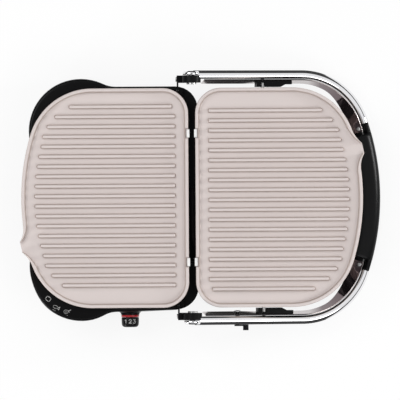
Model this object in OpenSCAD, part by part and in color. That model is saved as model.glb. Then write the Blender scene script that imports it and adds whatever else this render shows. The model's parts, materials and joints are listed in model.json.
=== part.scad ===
// Electric contact grill with lid, opened flat to 180 degrees.
// Two ribbed plates lie side by side: the lower one on the base, the upper one in the lid.
// The frame runs +X from the base's front to the grip, +Y to the left side, +Z up.
// Sizes are in millimetres. X is counted from the hinge axis until place() shifts the origin.

/* [Plates] */
// Length of one plate from its hinge edge to its front
plate_len = 221; // [180:1:260]
// Width of one plate
plate_w = 290; // [260:1:320]
// Thickness of a plate from its underside to its rim
plate_h = 10.5; // [9:0.5:16]
// Thickness of the plate's floor
plate_floor = 3.5; // [2.5:0.5:5]
// Width of the raised rim
rim_w = 4.6; // [3:0.1:7]
// Radius of the wide front curve
plate_front_r = 290; // [260:1:400]
// Radius of the two front corners
plate_corner_r = 85; // [60:1:95]
// Radius of the two corners at the hinge
plate_rear_r = 34; // [20:1:45]
// Gap between the two plates across the hinge
plate_gap = 9.2; // [7:0.1:14]
// Gap between the two rims when the grill is closed
close_gap = 1; // [0.5:0.1:3]

/* [Ribs] */
// Distance from rib to rib
rib_pitch = 13.1; // [11:0.1:14]
// Width of a rib
rib_w = 5.2; // [3.5:0.1:7]
// Height of a rib above the floor
rib_h = 5.4; // [3:0.1:6]
// Distance from a rib's end to the plate's edge
rib_margin = 17.2; // [12:0.1:24]
// Offset of the rib field, so that the two plates' ribs pass each other
rib_shift = 3; // [0:0.1:4]

/* [Spout] */
// Distance of the drip spout from the plate's centre line
spout_y = 65.6; // [40:0.1:80]
// Width of the spout's mouth
spout_w = 16; // [8:0.5:24]
// Reach of the spout past the plate's front
spout_reach = 7; // [3:0.5:12]
// Wall at each side of the spout
spout_wall = 3; // [2:0.5:5]

/* [Plate clips] */
// Distance of each clip from the centre line
clip_y = 85; // [50:1:100]
// Width of a notch for a clip
notch_w = 13.2; // [8:0.1:20]
// Depth of a notch for a clip
notch_d = 4.2; // [3:0.1:6]
// Width of the steel clip
clip_w = 11; // [6:0.5:16]
// Thickness of the clip's steel
clip_t = 1.2; // [0.8:0.1:2]
// Height of the ledge that the clip's lip holds down
ledge_h = 5.5; // [4:0.5:8]

/* [Base] */
// Height of the base's deck above the table
deck_z = 68; // [60:1:90]
// Room by which the base is wider than the plate, on each side
base_margin = 2.5; // [1:0.5:12]
// Setback of the base's and the lid's front wall behind the plate's edge
front_setback = 15.6; // [8:0.2:24]
// Reach of the base's rear wall behind the hinge axis
base_rear = 8; // [4:1:10]
// Radius of a corner lobe
lobe_r = 69; // [60:1:75]
// Distance of a lobe's centre from the front wall
lobe_set = 63.5; // [58:0.5:66]
// Distance of a lobe's centre from the base's side
lobe_in = 58.5; // [54:0.5:64]
// Radius of the blend from a lobe to the base's side
lobe_blend_r = 40; // [30:1:60]
// Radius of the base's rear corners
base_rear_r = 30; // [15:1:40]
// Wall of the plastic housings
wall = 3; // [2:0.5:4]
// Drop of the base's deck at the hinge
rear_step = 8; // [6:0.5:10]
// Distance of that drop from the hinge axis
rear_step_x = 12; // [10:0.5:16]
// Height of the rubber feet under the base
foot_h = 5; // [3:0.5:10]
// Radius of a rubber foot
foot_r = 9; // [6:0.5:12]

/* [Lid] */
// Depth of the lid below its deck
lid_depth = 40; // [34:1:46]
// Inset of the lid's side behind the plate's edge
lid_inset = 3; // [1:0.5:8]
// Distance of the lid's rear wall from the hinge axis
lid_rear = 14; // [12:1:20]
// Radius of the lid's rounded outer edge
lid_round = 13; // [6:1:16]

/* [Heating] */
// Radius of the tubular element
element_r = 3.2; // [2.5:0.1:4]
// Distance of the outer element legs from the well's side
element_in = 32; // [26:1:46]
// Distance of the inner element legs from the centre line
element_inner_y = 34; // [25:1:45]
// Depth of the reflector tray below the deck
tray_depth = 14; // [12:0.5:16]
// Thickness of the reflector's sheet
sheet_t = 1.2; // [0.8:0.1:1.6]

/* [Thermostat knob] */
// Distance of the knob's axis from the hinge axis
knob_x = 83; // [70:1:90]
// Height of the knob's axis above the table
knob_z = 37; // [30:0.5:42]
// Radius of the knob
knob_r = 11.65; // [9:0.05:15]
// Length of the knob
knob_len = 13.2; // [8:0.1:20]
// Length of the neck on the base's side
neck_len = 6.4; // [4:0.1:10]
// Thickness of the red ring
ring_t = 3.6; // [2:0.1:5]
// Radius of the thermostat's shaft
shaft_r = 3; // [2:0.5:4]

/* [Handle frame] */
// Room between the base's side and the arm's outer face
arm_room = 20.5; // [20:0.5:32]
// Room between the lid's front and the grip, measured along the arm
grip_room = 13.2; // [12:0.2:30]
// Radius of the frame's front curve
arm_front_r = 308; // [280:1:360]
// Radius of the frame's corners
arm_corner_r = 97; // [80:1:110]
// Width of the chromed bar
bar_w = 11.3; // [8:0.1:14]
// Height of the chromed bar
bar_h = 18; // [14:0.5:22]
// Width of the steel strip inside the bar
strip_w = 16; // [10:0.5:18]
// Thickness of that strip
strip_t = 1.6; // [1:0.1:2]
// Lean of the strip along the straight arm
strip_lean = 16; // [8:1:20]
// Lean of the strip at the grip
strip_lean_end = 72; // [50:1:80]
// Width of the grip
grip_w = 36; // [28:1:40]
// Height of the grip
grip_h = 26; // [20:1:32]
// Distance from the corner's bend to the chromed bar's end, across the arms
bar_run = 4.04; // [2:0.02:14]
// Wall of the grip's two shells
grip_wall = 3; // [2:0.5:4]

/* [Hinges] */
// Radius of the hinge pins
hinge_pin_r = 4; // [3:0.5:5]
// Radius of the hinge blocks round their pins
hinge_block_r = 12.3; // [9:0.1:12.5]
// Width of a hinge block
hinge_block_w = 9.6; // [6:0.1:12]
// Distance of the lid's pivot from the hinge axis, along the arm
pivot_x = 97.6; // [85:0.2:110]
// Radius of the lid's pivot pins
pivot_r = 2.3; // [1.8:0.1:3]
// Radial clearance of a pin that turns
run_gap = 0.05; // [0.02:0.01:0.08]
// Thickness of the hinge bracket's steel
bracket_t = 2.2; // [1.5:0.1:3]

/* [Release buttons and lock] */
// Width of a plate release button
button_w = 29.4; // [20:0.2:40]
// Height of a plate release button
button_h = 11.4; // [8:0.2:14]
// Travel of a plate release button
button_travel = 3; // [2:0.5:3]
// Distance of the lock lever's shaft from the hinge axis, along the arm
lever_x = 61.5; // [50:0.5:70]
// Distance from the lever's shaft to its peg
lever_arm = 11.3; // [8:0.1:16]
// Radius of the lever's peg
peg_r = 3.7; // [2.5:0.1:5]
// Reach of the peg out of the arm
peg_reach = 7.4; // [4:0.1:12]

/* [Lid lead] */
// Radius of the sleeved lead between base and lid
lead_r = 3.5; // [2.5:0.1:4]
// Distance of the lead's entry into the lid from the centre line
lead_entry_y = 72; // [60:1:76]

/* [Hidden] */
$fn = 48;

left = 1;
right = -1;
seat_gap = 0.3;
eps = 0.1;

// Heights above the table
plate_z = deck_z + clip_t + seat_gap;
rim_z = plate_z + plate_h;
floor_z = plate_z + plate_floor;
hinge_z = rim_z + close_gap / 2;
cover_z = foot_h;
cover_top = cover_z + wall;
step_z = deck_z - rear_step;

// Section of the housing's skirt: insets from the outline, and heights. Its rim stands just proud of the deck.
skirt_rim = 3.6;
skirt_section = [
    [2.4, cover_z], [0.8, cover_z + 1.6], [0, cover_z + 5],
    [0, deck_z - 4], [0.5, deck_z - 1.8], [1.8, deck_z - 0.5], [skirt_rim, deck_z + eps],
    [skirt_rim + 1, deck_z + eps], [skirt_rim + 1, deck_z - 5.5], [wall, deck_z - 7],
    [wall, cover_top], [wall + 1, cover_top], [wall + 1, cover_z]
];
lid_z = deck_z - lid_depth;

// Plate outline
plate_rear = -plate_gap / 2;
plate_front = plate_rear - plate_len;
rib_count = 2 * floor((plate_w / 2 - rib_margin - rib_shift) / rib_pitch) + 1;

// Housings, from the plate's width and length
base_half = plate_w / 2 + base_margin;
base_front = -plate_front - front_setback;
lobe_x = base_front - lobe_set;
lobe_y = base_half - lobe_in;
lid_half = plate_w / 2 - lid_inset;

// Well in each deck, which the reflector hangs in
well_front = -base_front + 24;
flange_w = 4;
well_rear = -lid_rear - wall - flange_w - 2 * seat_gap;
well_half = plate_w / 2 - 19;
well_front_r = 290;
well_corner_r = 75;
well_rear_r = 20;

// Handle frame, in the plane of the arms
arm_half = base_half + arm_room;
arm_reach = base_front + grip_w + grip_room;
bar_in = arm_half - bar_w;
arm_corner_y = arm_half - arm_corner_r;
arm_front_x = arm_reach - arm_front_r;
arm_tangent = asin(arm_corner_y / (arm_front_r - arm_corner_r));
arm_corner_x = arm_front_x + (arm_front_r - arm_corner_r) * cos(arm_tangent);
bar_start = hinge_block_r + 1.7;
grip_mid_r = arm_front_r - grip_w / 2;
grip_half = arm_front_r * sin(arm_tangent) - bar_run;
grip_angle = asin(grip_half / arm_front_r);
bar_end_angle = grip_angle + 0.06;
strand_w = 9.5;
strand_r = arm_front_r - strand_w / 2 - 0.4;
full_half = grip_half - 13.6;
grip_full_angle = asin(full_half / arm_front_r);
core_w = 3;
core_h = 10;
core_angle = grip_angle + 1.5;

// Slope of the arms, so that the grip's underside clears the table
grip_clear = 0.3;
grip_x = arm_reach - grip_w / 2;
first_pitch = asin((hinge_z - grip_h / 2) / grip_x);
grip_drop = norm([grip_w / 2 * sin(first_pitch), grip_h / 2 * cos(first_pitch)]);
arm_pitch = asin((hinge_z - grip_clear - grip_drop) / grip_x);
pivot_world_x = pivot_x * cos(arm_pitch);
pivot_world_z = hinge_z - pivot_x * sin(arm_pitch);

// Hinge stack, from the inside outwards
block_in = bar_in - 4.7;
block_out = block_in + hinge_block_w;
cheek_in = block_out + 0.4;
head_t = 2.3;

// Lid pivot
pivot_block_in = lid_half + 4;
pivot_bracket_len = 48.5;
pivot_bracket_lead = 8.7;

// Knob stack on the base's right side
neck_end = base_half + neck_len;
ring_end = neck_end + ring_t;
knob_start = ring_end + seat_gap;

// Heating element
element_z = plate_z - seat_gap - element_r;
element_outer_y = well_half - element_in;
element_bend_r = (element_outer_y - element_inner_y) / 2;
element_bend_y = (element_outer_y + element_inner_y) / 2;
element_front = well_front + element_bend_r + element_r + 13;
element_rear = element_inner_y + element_r - well_rear + 20;
element_end = -well_rear + 24;
element_post_x = -132;
element_post_t = 4;
tray_z = deck_z - wall - tray_depth;
tail_r = 1.6;
tail_len = 7;
tail_z = tray_z - 12;

// Release latch
latch_z = step_z - 13;
cap_x = -base_front - 4;
button_flange_x = -base_front + wall + 3 * seat_gap;
button_flange_t = 1.7;
button_lip = 1.4;
lug_x = -base_front + 7;
lug_t = 3;
lug_half_w = 10;
window_half_w = 6;
window_half_h = 1.5;
hook_x = lug_x + lug_t + 3.5;
hook_t = 3;
hook_half_w = 5.5;
tooth_z = deck_z - wall - 1.5;
tooth_half_h = 1.2;
spring_r = 2.5;
spring_wire = 0.6;
spring_end = hook_x + hook_t + 6.5;

// Fasteners
screw_r = 2;
screw_head_r = 3.6;
small_screw_r = 1.6;
small_head_r = 3.2;
boss_r = 4.5;
boss_spots = [
    [-base_front + 20, base_half - 29.5], [-base_front + 20, 29.5 - base_half],
    [-4, base_half - 47.5], [-4, 47.5 - base_half]
];
foot_spots = [
    [-base_front + 36, base_half - 42.5], [-base_front + 36, 42.5 - base_half],
    [-30, base_half - 42.5], [-30, 42.5 - base_half]
];

// Trough behind the deck, which the lid's lead lies in
trough_y = [-lead_entry_y - 12, 14];
trough_x = -5;
trough_z = step_z - 20.5;
lead_route = [
    [0.5, 17, 54], [0.5, 8, 54], [0.5, -8, 53.5], [0.5, -26, 53], [0.6, -42, 52], [1.2, -52, 50.5],
    [3.2, -61, 48], [6.8, -68, 45.6], [12.5, -71.6, 44.2], [19, -72, 44], [26, -72, 44]
];
lead_start = lead_route[0];
lead_finish = lead_route[len(lead_route) - 1];
bush_r = lead_r + 1.6;

// Hinge brackets
bracket_x = -19.5;
bracket_z = step_z - 20;
bracket_h = 16;
bracket_rise = 14;
bracket_boss = 5.2;
bracket_in = base_half - 8.5;
bracket_leaf = 30;
bracket_screw_x = [bracket_x - 22, bracket_x - 12];
bracket_screw_z = bracket_z + bracket_h / 2;
foot_screw_z = step_z - 2;

// Inside the base
thermostat_x = -knob_x;
thermostat_y = -base_half + wall + 10.5;
thermostat_h = 20;
gland_y = 60;
gland_z = cover_top + 9;
gland_r = 6.5;
vent_count = 8;
vent_pitch = 9;
vent_x = -140;
vent_y = 40;
vent_w = 4;
vent_half = 16;
tray_post_x = [-150, -74];
tray_post_t = 4;
tray_post_half = 52;
terminal_low = [-52, 50, cover_top];
terminal_high = [-34, 82, cover_top + 14];
fuse_z = tray_z - 3.4;
fuse_in = [-72, 66, fuse_z];
fuse_out = [-50, 66, fuse_z];
tab_x = 8;
tab_end = 19;
wire_r = 1.3;
wire_gap = 0.4;

// Handle frame's small parts
lever_shaft_r = 2.5;
lever_in = bar_in - 5.7;
strip_top = 6;
strip_edge = bar_w + 0.3;
strip_twist_start = arm_corner_x - 12;
strip_twist_len = 120;
strip_edge_r = arm_front_r - strip_edge;
strip_end_angle = asin(full_half / strip_edge_r) + 0.2;
screw_from = strip_edge_r - 4.9;
screw_angle = strip_end_angle + turn_at(4.44, screw_from);
strip_fall = 1 / tan(strip_lean_end);
strip_face_z = strip_top + strip_t * sin(strip_lean_end)
    - (strip_edge_r - strip_t * cos(strip_lean_end) - screw_from) * strip_fall;
lug_span = [strip_edge_r - 11.9, strip_edge_r - 0.2];
lug_z = -6;
lug_end_angle = grip_full_angle + turn_at(15.1, grip_mid_r);
seam_z = 2;

// Inside the lid
pivot_boss_r = 7;
pivot_boss_len = 11.5;
lead_slot = 14;

// Origin: middle of the outline, on the table
peg_y = arm_half + 0.2 + peg_reach;
spout_tip = plate_edge(spout_y - spout_w / 2, 0) - spout_reach;
mid_x = (arm_reach * cos(arm_pitch) + spout_tip) / 2;
mid_y = (arm_half - peg_y) / 2;

// Angle that an arc of this length takes at radius r
function turn_at(length, r) = length / r * 180 / PI;

// Points of an arc from angle a to angle b
function arc(c, r, a, b, n) =
    [for (i = [0:n]) let (t = a + (b - a) * i / n) [c[0] + r * cos(t), c[1] + r * sin(t)]];

// Outline with a wide front curve at -X and square-set rear corners, drawn in by d
function d_outline(front, rear, half, front_r, corner_r, rear_r, d) =
    let (
        t = asin((half - corner_r) / (front_r - corner_r)),
        fx = front + front_r,
        cx = fx - (front_r - corner_r) * cos(t),
        cy = half - corner_r,
        rx = rear - rear_r,
        ry = half - rear_r
    )
    concat(
        arc([fx, 0], front_r - d, 180 - t, 180 + t, 20),
        arc([cx, -cy], corner_r - d, 182 + t, 270, 12),
        arc([rx, -ry], rear_r - d, 270, 360, 8),
        arc([rx, ry], rear_r - d, 0, 90, 8),
        arc([cx, cy], corner_r - d, 90, 178 - t, 12)
    );

function plate_outline(d) =
    d_outline(plate_front, plate_rear, plate_w / 2, plate_front_r, plate_corner_r, plate_rear_r, d);

function well_outline(d) =
    d_outline(well_front, well_rear, well_half, well_front_r, well_corner_r, well_rear_r, d);

function lid_outline(d) =
    d_outline(-base_front, -lid_rear, lid_half, plate_front_r, plate_corner_r - 8, plate_rear_r - 8, d);

// Half of the base's outline on the left side, from the rear corner to the front, drawn in by d
function base_half_outline(d) =
    let (
        by = base_half + lobe_blend_r,
        rise = by - lobe_y,
        span = lobe_r + lobe_blend_r,
        bx = -lobe_x + sqrt(span * span - rise * rise),
        turn = atan2(rise, bx + lobe_x),
        close = acos((base_front - lobe_x - d) / (lobe_r - d))
    )
    concat(
        arc([base_rear - base_rear_r, base_half - base_rear_r], base_rear_r - d, 0, 90, 8),
        arc([bx, by], lobe_blend_r + d, 270, 180 + turn, 6),
        arc([-lobe_x, lobe_y], lobe_r - d, turn + 2, 180 + close, 24)
    );

function base_outline(d) =
    let (half = base_half_outline(d))
    concat(half, [for (i = [len(half) - 1:-1:0]) [half[i][0], -half[i][1]]]);

// X of the plate's outline, drawn in by d, at a distance y from the centre line
function plate_edge(y, d) =
    let (
        cy = plate_w / 2 - plate_corner_r,
        t = asin(cy / (plate_front_r - plate_corner_r)),
        fx = plate_front + plate_front_r,
        cx = fx - (plate_front_r - plate_corner_r) * cos(t),
        fr = plate_front_r - d,
        cr = plate_corner_r - d
    )
    abs(y) < fr * sin(t)
        ? fx - sqrt(fr * fr - y * y)
        : cx - sqrt(max(0, cr * cr - (abs(y) - cy) * (abs(y) - cy)));

function power(v, n) = sign(v) * pow(abs(v), n);

// Rounded section, between an ellipse and a rectangle
function soft_section(w, h, n) =
    [for (i = [0:n - 1]) let (t = 360 * i / n) [w / 2 * power(cos(t), 0.75), h / 2 * power(sin(t), 0.75)]];

function lift(points, z) = [for (p = points) [p[0], p[1], z]];

function smooth(t) = let (u = min(1, max(0, t))) u * u * (3 - 2 * u);

module place() translate([-mid_x, -mid_y, 0]) children();

module on_side(side) mirror([0, side < 0 ? 1 : 0, 0]) children();

module turned() rotate([0, 0, 180]) children();

module arm_frame() place() translate([0, 0, hinge_z]) rotate([0, arm_pitch, 0]) children();

module slab(points, z0, z1) translate([0, 0, z0]) linear_extrude(z1 - z0) polygon(points);

module block(low, high) translate(low) cube(high - low);

// Cylinder along +Y from y0 to y1
module y_rod(x, z, y0, y1, r) translate([x, y0, z]) rotate([-90, 0, 0]) cylinder(r = r, h = y1 - y0);

// Solid through rings of equal length, listed anticlockwise as seen from the last ring
module loft(rings) {
    n = len(rings[0]);
    last = len(rings) - 1;
    polyhedron(
        points = [for (r = rings) each r],
        faces = concat(
            [[for (i = [0:n - 1]) i]],
            [for (k = [0:last - 1], i = [0:n - 1]) let (a = k * n + i, b = k * n + (i + 1) % n) [a, a + n, b + n]],
            [for (k = [0:last - 1], i = [0:n - 1]) let (a = k * n + i, b = k * n + (i + 1) % n) [a, b + n, b]],
            [[for (i = [n - 1:-1:0]) last * n + i]]
        )
    );
}

// Circle of n points round a route's point, square to the way the route runs there
function route_ring(route, i, r, n) =
    let (
        last = len(route) - 1,
        d = route[min(last, i + 1)] - route[max(0, i - 1)],
        w = d / norm(d),
        side = cross(w, [0.21, 0.33, 0.92]),
        u = side / norm(side),
        v = cross(w, u)
    )
    [for (k = [0:n - 1]) route[i] + r * (cos(360 * k / n) * u + sin(360 * k / n) * v)];

// Flexible tube of n sides along a route
module tube(route, r, n) loft([for (i = [0:len(route) - 1]) route_ring(route, i, r, n)]);

module wire(route) tube(route, wire_r, 8);

// Plates, each drawn as the lower one
module rib(k) {
    y = (k - (rib_count - 1) / 2) * rib_pitch + rib_shift;
    x0 = plate_edge(y, rib_margin + rib_w / 2);
    x1 = plate_rear - rib_margin - rib_w / 2;
    slab(
        concat(arc([x0, y], rib_w / 2, 90, 270, 8), arc([x1, y], rib_w / 2, -90, 90, 8)),
        floor_z - eps, floor_z + rib_h
    );
}

function spout_points(grow, tip) =
    let (
        in_x = plate_edge(spout_y, 0) + 5,
        half = spout_w / 2 + grow
    )
    [
        [in_x, -spout_y + half + 6], [plate_edge(spout_y - half - 6, 0), -spout_y + half + 6],
        [plate_edge(spout_y - half, 0) - tip, -spout_y + half],
        [plate_edge(spout_y + half, 0) - tip, -spout_y - half],
        [plate_edge(spout_y + half + 5, 0), -spout_y - half - 5], [in_x, -spout_y - half - 5]
    ];

module spout_channel() {
    in_x = plate_edge(spout_y, 0) + rim_w + 2;
    half = spout_w / 2 - spout_wall / 2;
    slab(
        [
            [in_x, -spout_y + half + 3], [plate_front - 2 * spout_reach, -spout_y + half],
            [plate_front - 2 * spout_reach, -spout_y - half], [in_x, -spout_y - half - 3]
        ],
        floor_z, rim_z + eps
    );
}

module plate() {
    difference() {
        union() {
            difference() {
                union() {
                    slab(plate_outline(0), plate_z, rim_z);
                    slab(spout_points(0, spout_reach), plate_z + 3, rim_z);
                }
                slab(plate_outline(rim_w), floor_z, rim_z + eps);
                spout_channel();
            }
            for (k = [0:rib_count - 1]) rib(k);
            block([lug_x, -lug_half_w, tooth_z - 3.5], [lug_x + lug_t, lug_half_w, plate_z + eps]);
        }
        for (s = [-1, 1]) {
            y = s * clip_y;
            block(
                [plate_rear - notch_d, y - notch_w / 2, plate_z + ledge_h],
                [plate_rear + eps, y + notch_w / 2, rim_z + eps]
            );
        }
        block(
            [lug_x - eps, -window_half_w, tooth_z - window_half_h],
            [lug_x + lug_t + eps, window_half_w, tooth_z + window_half_h]
        );
    }
}

module clips() {
    for (s = [-1, 1]) {
        y = s * clip_y;
        x1 = plate_rear + seat_gap + clip_t;
        lip_z = plate_z + ledge_h + seat_gap;
        block([plate_rear - 19, y - clip_w / 2, deck_z], [x1, y + clip_w / 2, deck_z + clip_t]);
        block([x1 - clip_t, y - clip_w / 2, deck_z], [x1, y + clip_w / 2, lip_z + clip_t]);
        block([x1 - clip_t - 2.8, y - clip_w / 2, lip_z], [x1, y + clip_w / 2, lip_z + clip_t]);
    }
}

module element_leg(y, x0, x1) translate([x0, y, element_z]) rotate([0, 90, 0]) cylinder(r = element_r, h = x1 - x0);

module element_bend(x, y, r, a) {
    translate([x, y, element_z]) rotate([0, 0, a])
        rotate_extrude(angle = 180) translate([r, 0]) circle(r = element_r);
}

module heating_element() {
    for (s = [-1, 1]) {
        element_leg(s * element_outer_y, element_front, -element_end);
        element_leg(s * element_inner_y, element_front, -element_rear);
        element_bend(element_front, s * element_bend_y, element_bend_r, 90);
        translate([-element_end, s * element_outer_y, element_z]) sphere(r = element_r);
        translate([-element_end, s * element_outer_y, tray_z - 8]) cylinder(r = element_r, h = element_z - tray_z + 8);
        translate([-element_end, s * element_outer_y, tray_z - 8 - tail_len + 1]) cylinder(r = tail_r, h = tail_len);
    }
    element_bend(-element_rear, 0, element_inner_y, -90);
}

module element_posts() {
    for (y = [-element_outer_y, -element_inner_y, element_inner_y, element_outer_y]) {
        x = element_post_x;
        block([x, y - 5, tray_z + sheet_t], [x + element_post_t, y + 5, element_z - element_r]);
        block([x, y + element_r + 0.1, tray_z + sheet_t], [x + element_post_t, y + 5, element_z]);
    }
}

module reflector() {
    difference() {
        union() {
            slab(well_outline(1), tray_z, deck_z - wall - seat_gap);
            slab(well_outline(-flange_w), deck_z - wall - seat_gap - sheet_t, deck_z - wall - seat_gap);
        }
        slab(well_outline(1 + sheet_t), tray_z + sheet_t, deck_z);
        for (s = [-1, 1])
            translate([-element_end, s * element_outer_y, tray_z - eps]) cylinder(r = 5, h = 5);
    }
}

// Latch that holds a plate's front, drawn as the lower one
module release_button() {
    flange_end = button_flange_x + button_flange_t;
    difference() {
        union() {
            block(
                [cap_x, -button_w / 2, latch_z - button_h / 2],
                [flange_end, button_w / 2, latch_z + button_h / 2]
            );
            block(
                [button_flange_x, -button_w / 2 - button_lip, latch_z - button_h / 2 - button_lip],
                [flange_end, button_w / 2 + button_lip, latch_z + button_h / 2 + button_lip]
            );
        }
        block(
            [cap_x - eps, -button_w / 2 + 4, latch_z - 1],
            [cap_x + 1, button_w / 2 - 4, latch_z + 1]
        );
    }
    block([flange_end - eps, -8, latch_z - 3], [hook_x + hook_t, 8, latch_z + 3]);
    block([hook_x, -hook_half_w, latch_z - 3], [hook_x + hook_t, hook_half_w, tooth_z + tooth_half_h]);
    block(
        [lug_x + lug_t - 1.5, -hook_half_w, tooth_z - tooth_half_h],
        [hook_x + hook_t, hook_half_w, tooth_z + tooth_half_h]
    );
}

module button_spring() {
    translate([hook_x + hook_t, 0, latch_z]) rotate([0, 90, 0])
        difference() {
            cylinder(r = spring_r, h = spring_end - hook_x - hook_t);
            translate([0, 0, -eps]) cylinder(r = spring_r - spring_wire, h = spring_end - hook_x - hook_t + 2 * eps);
        }
}

module spring_post(z0) {
    block([spring_end, -6, z0], [spring_end + wall, 6, latch_z + spring_r + 0.4]);
}

// Opening in a deck: the well, the slot for the latch, and room for the button
module deck_openings() {
    slab(well_outline(0), deck_z - wall - eps, deck_z + eps);
    block(
        [lug_x - 1, -lug_half_w - 1, deck_z - wall - eps],
        [hook_x + hook_t + button_travel + 0.5, lug_half_w + 1, deck_z + eps]
    );
    block(
        [-base_front - eps, -button_w / 2 - seat_gap, latch_z - button_h / 2 - seat_gap],
        [-base_front + wall + 1, button_w / 2 + seat_gap, latch_z + button_h / 2 + seat_gap]
    );
}

// Base housing
// Skirt all round, as one ring whose section runs up the outer side and down the inner side
module base_skirt() {
    n = len(base_outline(0));
    m = len(skirt_section);
    polyhedron(
        points = [for (s = skirt_section) each lift(base_outline(s[0]), s[1])],
        faces = [
            for (k = [0:m - 1], i = [0:n - 1])
                let (a = k * n + i, b = k * n + (i + 1) % n, c = (k + 1) % m * n + i, d = (k + 1) % m * n + (i + 1) % n)
                each [[a, c, d], [a, d, b]]
        ]
    );
}

// Deck, the riser behind it and the lower strip along the hinge, which the step is cut out of
module base_deck() {
    slab(base_outline(skirt_rim), deck_z - wall, deck_z);
    intersection() {
        slab(base_outline(wall / 2), step_z - wall, step_z + 1);
        block([-rear_step_x - wall, -arm_half, cover_z], [base_rear, arm_half, deck_z]);
    }
    intersection() {
        slab(base_outline(wall / 2), step_z - wall, deck_z - 1);
        block([-rear_step_x - wall, -arm_half, cover_z], [-rear_step_x + 1, arm_half, deck_z]);
    }
}

module base_bosses() {
    for (p = boss_spots)
        translate([p[0], p[1], cover_top]) cylinder(r = boss_r, h = step_z - wall - cover_top + 1);
    for (s = [left, right]) on_side(s) {
        translate([boss_spots[0][0], boss_spots[0][1], step_z - wall])
            cylinder(r = boss_r, h = deck_z - step_z + 1);
        block(
            [bracket_x - bracket_leaf + 3, base_half - wall - bracket_boss, bracket_z + 2],
            [bracket_x - 7, base_half - wall + 1, bracket_z + bracket_h - 2]
        );
    }
}

module knob_neck() {
    y_rod(-knob_x, knob_z, -neck_end, -base_half + 1, knob_r + 0.8);
    translate([-knob_x, -base_half - 3, knob_z])
        rotate([-90, 0, 0]) cylinder(r1 = knob_r + 0.8, r2 = knob_r + 4, h = 4);
}

module base_shell() {
    color("#161616") place() difference() {
        union() {
            base_skirt();
            base_deck();
            base_bosses();
            knob_neck();
            block(
                [trough_x - wall, trough_y[0] - wall, trough_z - wall],
                [base_rear - 1, trough_y[1] + wall, step_z + 1]
            );
        }
        block([-rear_step_x, -arm_half, step_z], [base_rear + 5, arm_half, deck_z + 5]);
        deck_openings();
        block([trough_x, trough_y[0], trough_z], [base_rear + 5, trough_y[1], step_z + 5]);
        y_rod(lead_start[0], lead_start[2], trough_y[1] - eps, trough_y[1] + wall + 1.5, bush_r);
        y_rod(-knob_x, knob_z, -neck_end - eps, -base_half + wall + eps, shaft_r + 0.6);
        translate([base_rear - wall - 2, gland_y, gland_z])
            rotate([0, 90, 0]) cylinder(r = gland_r, h = wall + 4);
        for (p = boss_spots)
            translate([p[0], p[1], cover_top - eps]) cylinder(r = screw_r, h = 16);
        for (s = [left, right]) on_side(s) {
            block(
                [bracket_x - seat_gap, base_half - 12, bracket_z - seat_gap],
                [bracket_x + bracket_t + seat_gap, base_half + 8, deck_z + 5]
            );
            for (x = bracket_screw_x)
                y_rod(x, bracket_screw_z, base_half - wall - bracket_boss - eps, base_half - wall, small_screw_r);
        }
    }
}

module base_bottom_cover() {
    color("#1c1c1c") place() difference() {
        union() {
            slab(base_outline(wall + 1 + seat_gap), cover_z, cover_top);
            spring_post(cover_top - eps);
            translate([thermostat_x, thermostat_y, cover_top - eps])
                block([-6, -6, 0], [6, 6, knob_z - thermostat_h / 2 - cover_top - seat_gap]);
            for (x = tray_post_x)
                block([x, -tray_post_half, cover_top - eps], [x + tray_post_t, tray_post_half, tray_z - seat_gap]);
        }
        for (p = boss_spots)
            translate([p[0], p[1], cover_z - eps]) {
                cylinder(r = screw_r + 0.3, h = wall + 2 * eps);
                cylinder(r = screw_head_r + 0.3, h = 1.6);
            }
        for (p = foot_spots) translate([p[0], p[1], cover_z - eps]) cylinder(r = 3, h = wall + 2 * eps);
        for (i = [0:vent_count - 1], s = [-1, 1])
            block(
                [vent_x + i * vent_pitch, s * vent_y - vent_half, cover_z - eps],
                [vent_x + i * vent_pitch + vent_w, s * vent_y + vent_half, cover_top + eps]
            );
    }
}

module rubber_feet() {
    color("#2b2b2b") place() for (p = foot_spots) translate([p[0], p[1], 0]) {
        cylinder(r1 = foot_r - 1, r2 = foot_r, h = foot_h);
        cylinder(r = 3, h = foot_h + wall);
        translate([0, 0, cover_top]) cylinder(r = 4.4, h = 1.6);
    }
}

module base_screws() {
    color("silver") place() for (p = boss_spots) translate([p[0], p[1], cover_z + 0.2]) {
        cylinder(r = screw_head_r, h = 1.3);
        cylinder(r = screw_r, h = 15);
    }
}

module lower_plate() color("#d4cbc8") place() plate();

module lower_plate_clips() color("silver") place() clips();

module lower_heating_element() color("#6d6f70") place() heating_element();

module lower_element_posts() color("#a8aaab") place() element_posts();

module lower_reflector() color("#b9bcbe") place() reflector();

module lower_release_button() color("#1b1b1b") place() release_button();

module lower_button_spring() color("silver") place() button_spring();

// Thermostat and knob on the base's right side
module thermostat_body() {
    color("#d9d4c6") place() translate([thermostat_x, thermostat_y, knob_z]) difference() {
        union() {
            block([-13, -9, -thermostat_h / 2], [13, 11, thermostat_h / 2]);
            for (x = [-tab_x, tab_x]) block([x - 3, 10, 1], [x + 3, tab_end, 1.8]);
        }
        y_rod(0, 0, -9 - eps, 5, shaft_r + run_gap);
    }
}

module thermostat_bracket() {
    color("#a8aaab") place() difference() {
        block(
            [-knob_x - 21, -base_half + wall, knob_z - 9],
            [-knob_x + 21, thermostat_y - 9, knob_z + 9]
        );
        y_rod(-knob_x, knob_z, -base_half, thermostat_y, shaft_r + 1);
    }
}

module thermostat_shaft() {
    color("silver") place() y_rod(-knob_x, knob_z, -knob_start - knob_len + 4, thermostat_y + 4.5, shaft_r);
}

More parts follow.
